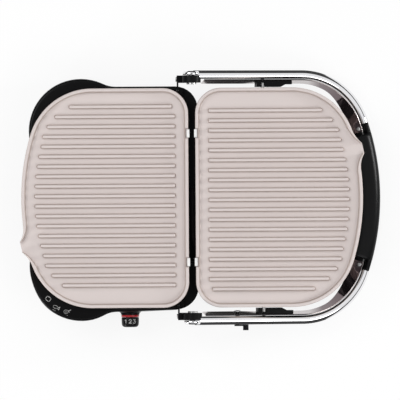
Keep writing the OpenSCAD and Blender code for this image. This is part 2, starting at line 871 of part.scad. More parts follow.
module thermostat_knob() {
    color("#141414") place() difference() {
        union() {
            y_rod(-knob_x, knob_z, -knob_start - knob_len + 2.6, -knob_start, knob_r);
            translate([-knob_x, -knob_start - knob_len, knob_z])
                rotate([-90, 0, 0]) cylinder(r1 = knob_r - 3.4, r2 = knob_r, h = 2.6);
        }
        y_rod(-knob_x, knob_z, -knob_start - knob_len + 4, -knob_start + eps, shaft_r);
    }
}

module knob_ring() {
    color("#aa2330") place() difference() {
        y_rod(-knob_x, knob_z, -ring_end, -neck_end, knob_r + 0.25);
        y_rod(-knob_x, knob_z, -ring_end - eps, -neck_end + eps, shaft_r + 1);
    }
}

// Mains side inside the base
module terminal_block() {
    color("#e8e4da") place() difference() {
        block(terminal_low, terminal_high);
        for (i = [0:2])
            translate([terminal_low[0] + 9, terminal_low[1] + 6 + i * 10, cover_top + 5]) cylinder(r = 2.6, h = 10);
    }
}

module thermal_fuse() {
    color("#c9b27a") place() translate(fuse_in) rotate([0, 90, 0]) cylinder(r = 3, h = fuse_out[0] - fuse_in[0]);
}

module base_wiring() {
    in_x = terminal_high[0] + wire_gap;
    out_x = terminal_low[0] - wire_gap;
    row = [for (i = [0:2]) terminal_low[1] + 6 + i * 10];
    z = cover_top + 7;
    tab_z = knob_z + 1.4;
    tab_y = thermostat_y + tab_end + wire_gap;
    tail_x = -element_end + tail_r + wire_gap;
    far_x = -element_end - tail_r - wire_gap;
    color("#b03a2e") place() {
        tube([[base_rear - 5, gland_y, gland_z], [-14, gland_y, gland_z], [-24, 64, gland_z], [-28, row[1], z - 1], [in_x, row[1], z - 1]], 3, 8);
        wire([[out_x, row[1], z], [-66, row[1], z], [-76, row[1], 24], [-79, row[1], fuse_z - 6], [-76, row[1], fuse_z], fuse_in - [wire_gap, 0, 0]]);
        wire([fuse_out + [wire_gap, 0, 0], [-44, 68, fuse_z - 1], [-34, 84, fuse_z - 6], [tail_x + 4, element_outer_y - 1, tail_z], [tail_x, element_outer_y, tail_z]]);
        wire([[out_x, row[0], z], [-56, row[0], z], [-60, 46, z - 1], [-62, -60, z - 1], [thermostat_x + tab_x + 1, tab_y + 15, 26], [thermostat_x + tab_x, tab_y + 6, tab_z], [thermostat_x + tab_x, tab_y, tab_z]]);
        wire([[thermostat_x - tab_x, tab_y, tab_z], [thermostat_x - tab_x, tab_y + 6, tab_z], [-66, -98, tail_z], [far_x - 5, 1 - element_outer_y, tail_z], [far_x, -element_outer_y, tail_z]]);
        wire([[in_x, row[2], z], [-29, row[2], z], [-20, 64, 26], [-9, 36, 44], [0, 28, lead_start[2]], [lead_start[0], 23, lead_start[2]], lead_start + [0, wire_gap, 0]]);
    }
}

module cable_gland() {
    color("#202020") place() translate([base_rear - wall - 2.4, gland_y, gland_z]) rotate([0, 90, 0]) difference() {
        union() {
            cylinder(r = gland_r, h = wall + 4);
            cylinder(r = gland_r + 2, h = 2.4);
            translate([0, 0, wall + 2.4]) cylinder(r = gland_r + 2, h = 2.4);
        }
        translate([0, 0, -eps]) cylinder(r = 3.7, h = 20);
    }
}

// Lead between base and lid, with its bush in the base
module lead_bush() {
    color("#202020") place() difference() {
        y_rod(lead_start[0], lead_start[2], trough_y[1] - 1.5, trough_y[1] + wall + 1, bush_r);
        y_rod(lead_start[0], lead_start[2], trough_y[1] - 2, trough_y[1] + wall + 2, lead_r);
    }
}

module lid_lead() {
    color("#101010") place() tube(lead_route, lead_r, 12);
}

// Hinges
module hinge_bracket(side) {
    color("#2a2a2a") place() on_side(side) difference() {
        union() {
            block([bracket_x, bracket_in, bracket_z], [bracket_x + bracket_t, block_out, step_z + bracket_rise]);
            block(
                [bracket_x - bracket_leaf, bracket_in - bracket_t, bracket_z],
                [bracket_x + bracket_t, bracket_in, bracket_z + bracket_h]
            );
        }
        block(
            [bracket_x - eps, bracket_in - eps, deck_z],
            [bracket_x + bracket_t + eps, bracket_in + 1.6, step_z + bracket_rise + eps]
        );
        for (x = bracket_screw_x) y_rod(x, bracket_screw_z, bracket_in - 5, bracket_in + 3, screw_r);
        translate([bracket_x - eps, (block_in + block_out) / 2, foot_screw_z])
            rotate([0, 90, 0]) cylinder(r = screw_r, h = bracket_t + 2 * eps);
    }
}

module hinge_bracket_left() hinge_bracket(left);

module hinge_bracket_right() hinge_bracket(right);

module hinge_block(side) {
    foot_x = bracket_x + bracket_t;
    color("#181818") place() on_side(side) difference() {
        union() {
            y_rod(0, hinge_z, block_in, block_out, hinge_block_r);
            translate([0, block_out, 0]) rotate([90, 0, 0]) linear_extrude(hinge_block_w) polygon([
                [foot_x, foot_screw_z - 6], [-2, foot_screw_z - 6], [hinge_block_r * 0.8, hinge_z - hinge_block_r * 0.6],
                [0, hinge_z], [-hinge_block_r * 0.8, hinge_z - hinge_block_r * 0.6], [foot_x, step_z + bracket_rise]
            ]);
        }
        y_rod(0, hinge_z, block_in - eps, block_out + eps, hinge_pin_r);
        translate([foot_x - eps, (block_in + block_out) / 2, foot_screw_z])
            rotate([0, 90, 0]) cylinder(r = small_screw_r, h = 11);
    }
}

module hinge_block_left() hinge_block(left);

module hinge_block_right() hinge_block(right);

module hinge_pins() {
    color("silver") place() for (s = [left, right]) on_side(s) {
        y_rod(0, hinge_z, block_in, arm_half - 1.7, hinge_pin_r);
        y_rod(0, hinge_z, block_in - head_t, block_in, hinge_pin_r + 2.4);
    }
}

module bracket_screws() {
    color("silver") place() for (s = [left, right]) on_side(s) {
        for (x = bracket_screw_x) {
            y_rod(x, bracket_screw_z, bracket_in - bracket_t, base_half - wall - 0.5, small_screw_r);
            y_rod(x, bracket_screw_z, bracket_in - bracket_t - 1.5, bracket_in - bracket_t, small_head_r);
        }
        translate([bracket_x - 1.5, (block_in + block_out) / 2, foot_screw_z]) rotate([0, 90, 0]) {
            cylinder(r = small_head_r, h = 1.5);
            cylinder(r = small_screw_r, h = 12);
        }
    }
}

// Section of the bar where its middle is at p and its outward normal is n, times size
function bar_ring(p, n, size) =
    [for (q = soft_section(bar_w * size, bar_h * size, 24)) [p[0] + n[0] * q[0], p[1] + n[1] * q[0], q[1]]];

function bar_rings() =
    let (
        r = arm_corner_r - bar_w / 2,
        front_r = arm_front_r - bar_w / 2,
        bend = 90 - arm_tangent,
        last = arm_tangent - bar_end_angle
    )
    concat(
        [for (x = [bar_start, arm_corner_x - 8]) bar_ring([x, arm_half - bar_w / 2], [0, 1], 1)],
        [for (i = [0:20]) let (a = 90 - bend * i / 20)
            bar_ring([arm_corner_x + r * cos(a), arm_corner_y + r * sin(a)], [cos(a), sin(a)], 1)],
        [for (t = [[0.6, 1], [0.9, 0.96], [1, 0.88]]) let (a = arm_tangent - last * t[0])
            bar_ring([arm_front_x + front_r * cos(a), front_r * sin(a)], [cos(a), sin(a)], t[1])]
    );

// Handle frame, drawn on the left side in the plane of the arms
module arm_bar(side) {
    color("#e6e7e8") arm_frame() on_side(side) difference() {
        union() {
            loft(bar_rings());
            y_rod(0, 0, cheek_in, arm_half - 0.8, bar_h / 2 + 2.6);
            block([0, cheek_in, -bar_h / 2 + 1], [bar_start + 4, arm_half - 0.8, bar_h / 2 - 1]);
        }
        y_rod(0, 0, cheek_in - eps, arm_half - 1.5, hinge_pin_r + run_gap);
        y_rod(pivot_x, 0, bar_in - 2, bar_in + 4, pivot_r);
        if (side == right) y_rod(lever_x, 0, bar_in - 5, arm_half + 1, lever_shaft_r + run_gap);
        core_space(0.4);
    }
}

module arm_bar_left() arm_bar(left);

module arm_bar_right() arm_bar(right);

// Ring of the steel strip: its outer top edge at p, leaning in from the outward normal n
function strip_ring(p, n, lean) =
    let (
        down = [-n[0] * sin(lean), -n[1] * sin(lean), -cos(lean)],
        in = [-n[0] * cos(lean), -n[1] * cos(lean), sin(lean)],
        a = [p[0], p[1], strip_top]
    )
    [a, a + strip_t * in, a + strip_w * down + strip_t * in, a + strip_w * down];

// Lean of the strip at a distance s along it from the hinge
function strip_lean_at(s) =
    strip_lean + (strip_lean_end - strip_lean) * smooth((s - strip_twist_start) / strip_twist_len);

function strip_rings() =
    let (
        r = arm_corner_r - strip_edge,
        bend = 90 - arm_tangent,
        straight = [for (x = [bar_start + 2:8:arm_corner_x - 6])
            strip_ring([x, arm_half - strip_edge], [0, 1], strip_lean_at(x))],
        corner = [for (i = [0:18]) let (a = 90 - bend * i / 18)
            strip_ring([arm_corner_x + r * cos(a), arm_corner_y + r * sin(a)], [cos(a), sin(a)],
                strip_lean_at(arm_corner_x + r * (90 - a) * PI / 180))],
        front = [for (i = [1:3]) let (a = arm_tangent - (arm_tangent - strip_end_angle) * i / 3)
            strip_ring([arm_front_x + strip_edge_r * cos(a), strip_edge_r * sin(a)], [cos(a), sin(a)], strip_lean_end)]
    )
    concat(straight, corner, front);

// Frame on the strip's upper face where a grip screw sits, square to that face
module screw_frame() translate([arm_front_x, 0, 0]) rotate([0, 0, screw_angle])
    translate([screw_from, 0, strip_face_z]) rotate([0, strip_lean_end - 90, 0]) children();

module arm_strip(side) {
    color("#5d5654") arm_frame() on_side(side) difference() {
        loft(strip_rings());
        y_rod(pivot_x, 0, bar_in - 9, bar_in + 1, pivot_r + 0.1);
        if (side == right) y_rod(lever_x, 0, bar_in - 9, bar_in + 1, lever_shaft_r + 0.2);
        screw_frame() cylinder(r = small_screw_r + 0.1, h = 20, center = true);
    }
}

module arm_strip_left() arm_strip(left);

module arm_strip_right() arm_strip(right);

// Y of the strip's inner face at height z, where it backs the pivot bracket
function strip_face(z) =
    arm_half - strip_edge - (strip_top - z) * tan(strip_lean) - strip_t / cos(strip_lean);

module pivot_bracket(side) {
    low = -7;
    high = 4;
    pin_wall = 2.2;
    tail_x = [22, 31, 41];
    color("#151515") arm_frame() on_side(side) difference() {
        translate([pivot_x - pivot_bracket_lead, 0, 0]) rotate([90, 0, 90]) linear_extrude(pivot_bracket_len) polygon([
            [pivot_block_in, low], [strip_face(low) - seat_gap, low],
            [strip_face(high) - seat_gap, high], [pivot_block_in, high]
        ]);
        translate([pivot_x - pivot_r - 0.1, 0, 0]) rotate([90, 0, 90]) linear_extrude(2 * pivot_r + 0.2) polygon([
            [pivot_block_in - 1, low - 1], [strip_face(low - 1) - pin_wall, low - 1],
            [strip_face(high + 1) - pin_wall, high + 1], [pivot_block_in - 1, high + 1]
        ]);
        translate([0, 0, low - 1]) linear_extrude(high - low + 2) polygon([
            [pivot_x + tail_x[0], pivot_block_in - 1], [pivot_x + tail_x[2], pivot_block_in - 1],
            [pivot_x + tail_x[2], strip_face(low) - 1.5], [pivot_x + tail_x[1], strip_face(low) - 1.5]
        ]);
        y_rod(pivot_x, 0, pivot_block_in, bar_in, pivot_r);
    }
}

module pivot_bracket_left() pivot_bracket(left);

module pivot_bracket_right() pivot_bracket(right);

module lid_pivot_pins() {
    color("#f0f0f0") arm_frame() for (s = [left, right]) on_side(s)
        y_rod(pivot_x, 0, lid_half - 10, bar_in + 4, pivot_r);
}

// Grip across the front, as two shells on a steel core
// Arc about the front curve's centre from angle a to angle b, of the section that is given
module front_sweep(a, b) translate([arm_front_x, 0, 0]) rotate([0, 0, a]) rotate_extrude(angle = b - a) children();

module grip_solid() {
    front_sweep(-grip_full_angle, grip_full_angle)
        translate([grip_mid_r, 0]) polygon(soft_section(grip_w, grip_h, 28));
    for (s = [left, right]) on_side(s)
        front_sweep(grip_full_angle - 0.5, grip_angle)
            translate([strand_r, 0]) polygon(soft_section(strand_w, bar_h + 1, 20));
}

module grip_hollow() {
    end = grip_full_angle - 1.2;
    front_sweep(-end, end)
        translate([grip_mid_r, 0]) polygon(soft_section(grip_w - 2 * grip_wall, grip_h - 2 * grip_wall, 28));
}

module core_space(pad) {
    end = core_angle + pad / 10;
    front_sweep(-end, end) translate([strand_r, 0]) square([core_w + pad, core_h + pad], center = true);
}

module grip_upper() {
    color("#121212") arm_frame() difference() {
        intersection() {
            grip_solid();
            block([arm_corner_x, -arm_half, seam_z], [arm_reach + 5, arm_half, grip_h]);
        }
        grip_hollow();
        core_space(0.4);
    }
}

// Lug at each end of the grip, under the strip's end
module grip_lug() {
    near = lug_span[0];
    far = lug_span[1];
    for (s = [left, right]) on_side(s) {
        front_sweep(grip_full_angle - 1, lug_end_angle)
            polygon([[near, lug_z], [far, lug_z], [far, seam_z - 0.4], [near, seam_z - 0.4]]);
        front_sweep(grip_full_angle + 0.08, lug_end_angle - 0.05) polygon([
            [near + 0.3, seam_z - 1], [far - 0.3, seam_z - 1],
            [far - 0.3, strip_top - seat_gap - (strip_edge_r - far) * strip_fall],
            [near + 0.3, strip_top - seat_gap - (strip_edge_r - near) * strip_fall]
        ]);
    }
}

module grip_lower() {
    color("#161616") arm_frame() difference() {
        union() {
            intersection() {
                grip_solid();
                block([arm_corner_x, -arm_half, -grip_h], [arm_reach + 5, arm_half, seam_z]);
            }
            grip_lug();
        }
        grip_hollow();
        core_space(0.4);
        for (s = [left, right]) on_side(s)
            screw_frame() translate([0, 0, -9]) cylinder(r = small_screw_r, h = 20);
    }
}

module grip_core() {
    color("#8d8f91") arm_frame() core_space(0);
}

module grip_screws() {
    color("#9a9a9c") arm_frame() for (s = [left, right]) on_side(s)
        screw_frame() {
            translate([0, 0, -8.8]) cylinder(r = small_screw_r, h = 9);
            translate([0, 0, 0.1]) cylinder(r1 = small_head_r, r2 = 2, h = 2);
        }
}

// Lock lever on the right arm
module lock_lever() {
    out = arm_half + 0.2;
    color("#151515") arm_frame() on_side(right) union() {
        y_rod(lever_x, 0, out, out + 1.8, 4.2);
        block([lever_x, out, -2.6], [lever_x + lever_arm, out + 1.8, 2.6]);
        y_rod(lever_x + lever_arm, 0, out, out + peg_reach, peg_r);
        y_rod(lever_x, 0, lever_in - 2, out + eps, lever_shaft_r);
    }
}

module lock_washer() {
    color("silver") arm_frame() on_side(right) difference() {
        y_rod(lever_x, 0, lever_in - 1.4, lever_in, 4.4);
        y_rod(lever_x, 0, lever_in - 2.4, lever_in + 1, lever_shaft_r);
    }
}

// Lid, drawn like the base's side and turned to face it
module lid_outer() {
    steps = 5;
    loft(concat(
        [for (i = [0:steps]) let (a = 90 * i / steps) lift(lid_outline(lid_round * (1 - sin(a))), lid_z + lid_round * (1 - cos(a)))],
        [lift(lid_outline(0), deck_z - 2), lift(lid_outline(0.6), deck_z - 0.6), lift(lid_outline(2), deck_z)]
    ));
}

module lid_cavity() {
    upper_z = lid_z + lid_round - 3;
    slab(lid_outline(wall), upper_z, deck_z - wall);
    slab(lid_outline(wall + lid_round * 0.5), lid_z + wall, upper_z + eps);
}

module lid_shell() {
    pivot = [pivot_world_x, pivot_world_z];
    color("#141414") place() difference() {
        union() {
            turned() difference() {
                lid_outer();
                lid_cavity();
            }
            turned() intersection() {
                spring_post(lid_z + wall - eps);
                slab(lid_outline(wall + lid_round * 0.4), lid_z, deck_z);
            }
            for (s = [left, right]) on_side(s)
                y_rod(pivot[0], pivot[1], lid_half - pivot_boss_len, lid_half - wall + 0.5, pivot_boss_r);
        }
        turned() deck_openings();
        for (s = [left, right]) on_side(s)
            y_rod(pivot[0], pivot[1], lid_half - pivot_boss_len - 1, lid_half + 1, pivot_r + run_gap);
        block(
            [lid_rear - 1, -lead_entry_y - lead_slot / 2, lead_finish[2] - lead_slot / 2],
            [lid_rear + wall + 4, -lead_entry_y + lead_slot / 2, lead_finish[2] + lead_slot / 2]
        );
    }
}

module upper_plate() color("#d4cbc8") place() turned() plate();

module upper_plate_clips() color("silver") place() turned() clips();

module upper_heating_element() color("#6d6f70") place() turned() heating_element();

module upper_element_posts() color("#a8aaab") place() turned() element_posts();

module upper_reflector() color("#b9bcbe") place() turned() reflector();

module lid_wiring() {
    x = lead_finish[0] + wire_gap;
    z = lead_finish[2];
    tail_x = element_end - tail_r - wire_gap;
    color("#b03a2e") place() {
        wire([[x, -lead_entry_y - 1.6, z], [x + 4, -lead_entry_y - 2, z - 1], [tail_x - 6, 6 - element_outer_y, tail_z], [tail_x - 4, -element_outer_y, tail_z], [tail_x, -element_outer_y, tail_z]]);
        wire([[x, -lead_entry_y + 1.6, z], [x + 4, -lead_entry_y + 2, z - 1], [36, -48, tail_z - 3], [36, 76, tail_z - 3], [tail_x - 4, element_outer_y - 2, tail_z], [tail_x, element_outer_y, tail_z]]);
    }
}

module upper_release_button() color("#1b1b1b") place() turned() release_button();

module upper_button_spring() color("silver") place() turned() button_spring();

base_shell();
base_bottom_cover();
rubber_feet();
base_screws();
lower_plate();
lower_plate_clips();
lower_heating_element();
lower_element_posts();
lower_reflector();
thermostat_body();
thermostat_bracket();
thermostat_shaft();
thermostat_knob();
knob_ring();
terminal_block();
thermal_fuse();
base_wiring();
cable_gland();
lead_bush();
lid_lead();
hinge_bracket_left();
hinge_bracket_right();
hinge_block_left();
hinge_block_right();
hinge_pins();
bracket_screws();
lower_release_button();
lower_button_spring();
arm_bar_left();
arm_bar_right();
arm_strip_left();
arm_strip_right();
pivot_bracket_left();
pivot_bracket_right();
lid_pivot_pins();
grip_upper();
grip_lower();
grip_core();
grip_screws();
lock_lever();
lock_washer();
lid_shell();
upper_plate();
upper_plate_clips();
upper_heating_element();
upper_element_posts();
upper_reflector();
lid_wiring();
upper_release_button();
upper_button_spring();
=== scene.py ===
import json
import math

import bmesh
import bpy
from mathutils import Matrix, Vector


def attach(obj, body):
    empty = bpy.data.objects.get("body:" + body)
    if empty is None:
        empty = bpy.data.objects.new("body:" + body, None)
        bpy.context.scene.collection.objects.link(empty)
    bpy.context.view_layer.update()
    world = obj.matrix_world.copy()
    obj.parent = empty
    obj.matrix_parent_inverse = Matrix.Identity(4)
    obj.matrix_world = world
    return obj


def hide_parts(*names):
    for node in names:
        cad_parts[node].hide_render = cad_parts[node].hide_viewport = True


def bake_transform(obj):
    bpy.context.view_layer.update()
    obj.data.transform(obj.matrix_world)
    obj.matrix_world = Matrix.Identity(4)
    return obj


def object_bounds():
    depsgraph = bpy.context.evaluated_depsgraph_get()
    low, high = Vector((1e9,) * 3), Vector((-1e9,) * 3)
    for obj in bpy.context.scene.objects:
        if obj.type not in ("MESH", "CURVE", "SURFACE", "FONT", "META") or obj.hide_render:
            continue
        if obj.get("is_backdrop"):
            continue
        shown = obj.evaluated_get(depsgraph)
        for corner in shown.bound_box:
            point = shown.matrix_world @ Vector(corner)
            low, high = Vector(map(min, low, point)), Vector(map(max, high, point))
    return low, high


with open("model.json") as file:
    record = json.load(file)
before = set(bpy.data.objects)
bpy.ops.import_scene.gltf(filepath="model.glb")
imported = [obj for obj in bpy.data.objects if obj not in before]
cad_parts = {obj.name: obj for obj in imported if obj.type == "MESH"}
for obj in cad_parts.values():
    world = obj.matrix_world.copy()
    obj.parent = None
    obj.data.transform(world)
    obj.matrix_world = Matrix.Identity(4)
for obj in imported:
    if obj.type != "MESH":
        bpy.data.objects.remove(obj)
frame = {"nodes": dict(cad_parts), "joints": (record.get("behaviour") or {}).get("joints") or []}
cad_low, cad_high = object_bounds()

# The place of the hinge, from which every size of this file is counted in millimetres: X towards the grip,
# Y towards the side without the knob, and Z up from the table. The arms lie in a plane that slopes down.
joint_pos = {j["name"]: Vector(j["pos_m"]) for j in frame["joints"] if "pos_m" in j}
hinge = joint_pos["arm_hinge"]
hinge_z = hinge.z * 1000
pivot = joint_pos["lid_tilt"] - hinge
arm_slope = math.atan2(-pivot.z, pivot.x)


def at(x, y, z):
    return Vector((hinge.x + x / 1000, hinge.y + y / 1000, z / 1000))


def on_arm(x, y, z):
    c = math.cos(arm_slope)
    s = math.sin(arm_slope)
    return at(x * c + z * s, y, hinge_z - x * s + z * c)


# The view from straight above, as a far camera with a long lens sees a grill that lies open on a table.
# The camera is turned a little, so that the grill lies a little askew in the picture.
view_height = 10.0
view_width = 0.528
view_centre = (10.4, -3.04, 80)
view_roll = -0.35
camera_data = bpy.data.cameras.new("view_from_above")
camera_data.sensor_width = 36
camera_data.lens = 36 * view_height / view_width
camera = bpy.data.objects.new("view_from_above", camera_data)
bpy.context.scene.collection.objects.link(camera)
camera.location = at(*view_centre) + Vector((0, 0, view_height))
camera.rotation_euler = (0, 0, math.radians(view_roll))
bpy.context.scene.camera = camera
bpy.context.scene.view_settings.view_transform = "Standard"


# The studio: a white sky, dark low down and right overhead, which draws the dark edges on polished metal.
# Two large soft lamps stand above and two small ones low down, and a white table keeps a faint shadow.
def ray_is_any(tree, kinds):
    path = tree.nodes.new("ShaderNodeLightPath")
    found = path.outputs[kinds[0]]
    for kind in kinds[1:]:
        either = tree.nodes.new("ShaderNodeMath")
        either.operation = "MAXIMUM"
        tree.links.new(found, either.inputs[0])
        tree.links.new(path.outputs[kind], either.inputs[1])
        found = either.outputs[0]
    return found


def rectangle(x0, x1, y0, y1):
    return [(x0, y0), (x1, y0), (x1, y1), (x0, y1)]


world = bpy.data.worlds.new("studio_sky")
bpy.context.scene.world = world
world.use_nodes = True
tree = world.node_tree
tree.nodes.clear()
direction = tree.nodes.new("ShaderNodeTexCoord")
split = tree.nodes.new("ShaderNodeSeparateXYZ")
tree.links.new(direction.outputs["Generated"], split.inputs[0])
heights = tree.nodes.new("ShaderNodeValToRGB")
heights.color_ramp.elements[0].position = 0.0
heights.color_ramp.elements[0].color = (0.10, 0.10, 0.10, 1)
heights.color_ramp.elements[1].position = 1.0
heights.color_ramp.elements[1].color = (0.10, 0.085, 0.09, 1)
for place, shade in [(0.02, 0.06), (0.48, 0.05), (0.58, 0.86), (0.945, 0.90), (0.975, 0.11)]:
    stop = heights.color_ramp.elements.new(place)
    stop.color = (shade, shade, shade * 1.01, 1)
tree.links.new(split.outputs["Z"], heights.inputs[0])
sky = tree.nodes.new("ShaderNodeBackground")
tree.links.new(heights.outputs[0], sky.inputs["Color"])
white = tree.nodes.new("ShaderNodeBackground")
white.inputs["Color"].default_value = (1, 1, 1, 1)
seen = ray_is_any(tree, ["Is Camera Ray", "Is Transmission Ray"])
chooser = tree.nodes.new("ShaderNodeMixShader")
tree.links.new(seen, chooser.inputs[0])
tree.links.new(sky.outputs[0], chooser.inputs[1])
tree.links.new(white.outputs[0], chooser.inputs[2])
output = tree.nodes.new("ShaderNodeOutputWorld")
tree.links.new(chooser.outputs[0], output.inputs[0])

for name, place, size, power in [
    ("lamp_left", (-0.9, 0.5, 1.5), 1.0, 9.0),
    ("lamp_right", (0.9, -0.7, 1.3), 0.8, 5.0),
    ("low_left", (-1.30, -1.05, 0.30), 0.40, 9.0),
    ("low_right", (1.90, 0.30, 0.50), 0.40, 15.0),
]:
    lamp_data = bpy.data.lights.new(name, "AREA")
    lamp_data.shape = "DISK"
    lamp_data.size = size
    lamp_data.energy = power
    lamp = bpy.data.objects.new(name, lamp_data)
    bpy.context.scene.collection.objects.link(lamp)
    lamp.location = place
    lamp.rotation_euler = (Vector((0, 0, 0)) - Vector(place)).to_track_quat("-Z", "Y").to_euler()

table_half = 3.0
table_glow = 0.86
table_mesh = bpy.data.meshes.new("table_top")
corners = rectangle(-table_half, table_half, -table_half, table_half)
table_mesh.from_pydata([(x, y, 0) for x, y in corners], [], [(0, 1, 2, 3)])
table = bpy.data.objects.new("table_top", table_mesh)
bpy.context.scene.collection.objects.link(table)
table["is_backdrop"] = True
paper = bpy.data.materials.new("white_table")
paper.use_nodes = True
tree = paper.node_tree
tree.nodes.clear()
matte = tree.nodes.new("ShaderNodeBsdfDiffuse")
matte.inputs["Color"].default_value = (0.92, 0.92, 0.92, 1)
glow = tree.nodes.new("ShaderNodeEmission")
glow.inputs["Color"].default_value = (1, 1, 1, 1)
glow.inputs["Strength"].default_value = 1.0
seen = ray_is_any(tree, ["Is Camera Ray", "Is Transmission Ray", "Is Glossy Ray"])
share = tree.nodes.new("ShaderNodeMath")
share.operation = "MULTIPLY"
share.inputs[1].default_value = table_glow
tree.links.new(seen, share.inputs[0])
chooser = tree.nodes.new("ShaderNodeMixShader")
tree.links.new(share.outputs[0], chooser.inputs[0])
tree.links.new(matte.outputs[0], chooser.inputs[1])
tree.links.new(glow.outputs[0], chooser.inputs[2])
output = tree.nodes.new("ShaderNodeOutputMaterial")
tree.links.new(chooser.outputs[0], output.inputs[0])
table_mesh.materials.append(paper)


# The two cooking plates: one die casting in aluminium, used twice, with a beige-grey non-stick coating, whose
# steep flanks are painted darker as painted shade in the creases by the ribs and the rim. A rounded rim runs
# round a floor with drafted ribs, a spout drains the front, and the clips sit in two notches.
coat_roughness = 0.26
painted_shade_span = (0.35, 0.80)


def make_finish(name, color, roughness, metallic=0.0, specular=0.5, grain=900.0, bump=0.05, depth=0.0001,
                vary=0.06, blotch=40.0, rough_vary=0.06, coat=0.0, stretch=None, painted_flank_shade=None):
    finish = bpy.data.materials.new(name)
    finish.use_nodes = True
    tree = finish.node_tree
    shader = tree.nodes["Principled BSDF"]
    shader.inputs["Metallic"].default_value = metallic
    shader.inputs["Specular IOR Level"].default_value = specular
    shader.inputs["Coat Weight"].default_value = coat
    shader.inputs["Coat Roughness"].default_value = coat_roughness
    place = tree.nodes.new("ShaderNodeTexCoord")
    source = place.outputs["Object"]
    if stretch:
        mapping = tree.nodes.new("ShaderNodeMapping")
        mapping.inputs["Scale"].default_value = stretch
        tree.links.new(source, mapping.inputs["Vector"])
        source = mapping.outputs["Vector"]
    fine = tree.nodes.new("ShaderNodeTexNoise")
    fine.inputs["Scale"].default_value = grain
    fine.inputs["Detail"].default_value = 2.0
    tree.links.new(source, fine.inputs["Vector"])
    broad = tree.nodes.new("ShaderNodeTexNoise")
    broad.inputs["Scale"].default_value = blotch
    broad.inputs["Detail"].default_value = 3.0
    tree.links.new(source, broad.inputs["Vector"])
    tint = tree.nodes.new("ShaderNodeMix")
    tint.data_type = "RGBA"
    tint.inputs["A"].default_value = (*[max(0.0, c * (1 - vary)) for c in color], 1)
    tint.inputs["B"].default_value = (*[min(1.0, c * (1 + vary)) for c in color], 1)
    blend = tree.nodes.new("ShaderNodeMath")
    blend.operation = "MULTIPLY_ADD"
    blend.inputs[1].default_value = 0.5
    tree.links.new(fine.outputs["Fac"], blend.inputs[0])
    half = tree.nodes.new("ShaderNodeMath")
    half.operation = "MULTIPLY"
    half.inputs[1].default_value = 0.5
    tree.links.new(broad.outputs["Fac"], half.inputs[0])
    tree.links.new(half.outputs[0], blend.inputs[2])
    tree.links.new(blend.outputs[0], tint.inputs["Factor"])
    tree.links.new(tint.outputs["Result"], shader.inputs["Base Color"])
    # Painted shade: on faces that lean away from upright, the base colour turns to the darker flank colour.
    if painted_flank_shade:
        form = tree.nodes.new("ShaderNodeNewGeometry")
        lean = tree.nodes.new("ShaderNodeSeparateXYZ")
        tree.links.new(form.outputs["Normal"], lean.inputs[0])
        upright = tree.nodes.new("ShaderNodeMapRange")
        upright.inputs["From Min"].default_value = painted_shade_span[0]
        upright.inputs["From Max"].default_value = painted_shade_span[1]
        tree.links.new(lean.outputs["Z"], upright.inputs["Value"])
        painted_shade_mix = tree.nodes.new("ShaderNodeMix")
        painted_shade_mix.data_type = "RGBA"
        painted_shade_mix.inputs["A"].default_value = (*painted_flank_shade, 1)
        tree.links.new(upright.outputs["Result"], painted_shade_mix.inputs["Factor"])
        tree.links.new(tint.outputs["Result"], painted_shade_mix.inputs["B"])
        tree.links.new(painted_shade_mix.outputs["Result"], shader.inputs["Base Color"])
    spread = tree.nodes.new("ShaderNodeMapRange")
    spread.inputs["From Min"].default_value = 0.3
    spread.inputs["From Max"].default_value = 0.7
    spread.inputs["To Min"].default_value = max(0.02, roughness - rough_vary)
    spread.inputs["To Max"].default_value = min(1.0, roughness + rough_vary)
    tree.links.new(broad.outputs["Fac"], spread.inputs["Value"])
    tree.links.new(spread.outputs["Result"], shader.inputs["Roughness"])
    relief = tree.nodes.new("ShaderNodeBump")
    relief.inputs["Strength"].default_value = bump
    relief.inputs["Distance"].default_value = depth
    tree.links.new(fine.outputs["Fac"], relief.inputs["Height"])
    tree.links.new(relief.outputs["Normal"], shader.inputs["Normal"])
    return finish


def arc(cx, cy, r, a, b, n):
    turns = [math.radians(a + (b - a) * i / n) for i in range(n + 1)]
    return [(cx + r * math.cos(t), cy + r * math.sin(t)) for t in turns]


def front_outline(front, rear, half, front_r, corner_r, rear_r, inset, breaks=(), fine=3):
    turn = math.degrees(math.asin((half - corner_r) / (front_r - corner_r)))
    fx = front + front_r
    cx = fx - (front_r - corner_r) * math.cos(math.radians(turn))
    cy = half - corner_r
    rx = rear - rear_r
    ry = half - rear_r
    points = []
    last = -turn
    for stop in [*breaks, turn]:
        steps = max(4, round((stop - last) * fine * 0.7))
        points += arc(fx, 0, front_r - inset, 180 + last, 180 + stop, steps)[:-1]
        last = stop
    return (
        points
        + arc(cx, -cy, corner_r - inset, 180 + turn, 270, 12 * fine)
        + arc(rx, -ry, rear_r - inset, 271, 360, 8 * fine)
        + arc(rx, ry, rear_r - inset, 0, 89, 8 * fine)
        + arc(cx, cy, corner_r - inset, 90, 179 - turn, 12 * fine)
    )


def bare_piece(name, verts, faces, merge):
    mesh = bpy.data.meshes.new(name)
    mesh.from_pydata([tuple(v) for v in verts], [], faces)
    tidy = bmesh.new()
    tidy.from_mesh(mesh)
    if merge:
        bmesh.ops.remove_doubles(tidy, verts=tidy.verts, dist=1e-6)
    bmesh.ops.recalc_face_normals(tidy, faces=tidy.faces)
    tidy.to_mesh(mesh)
    tidy.free()
    piece = bpy.data.objects.new(name, mesh)
    bpy.context.scene.collection.objects.link(piece)
    return piece


def mesh_piece(name, verts, faces, material, smooth=35):
    piece = bare_piece(name, verts, faces, True)
    shade(piece, smooth)
    if material:
        piece.data.materials.append(material)
    return piece


def shade(piece, angle):
    for face in piece.data.polygons:
        face.use_smooth = True
    piece.data.set_sharp_from_angle(angle=math.radians(angle))


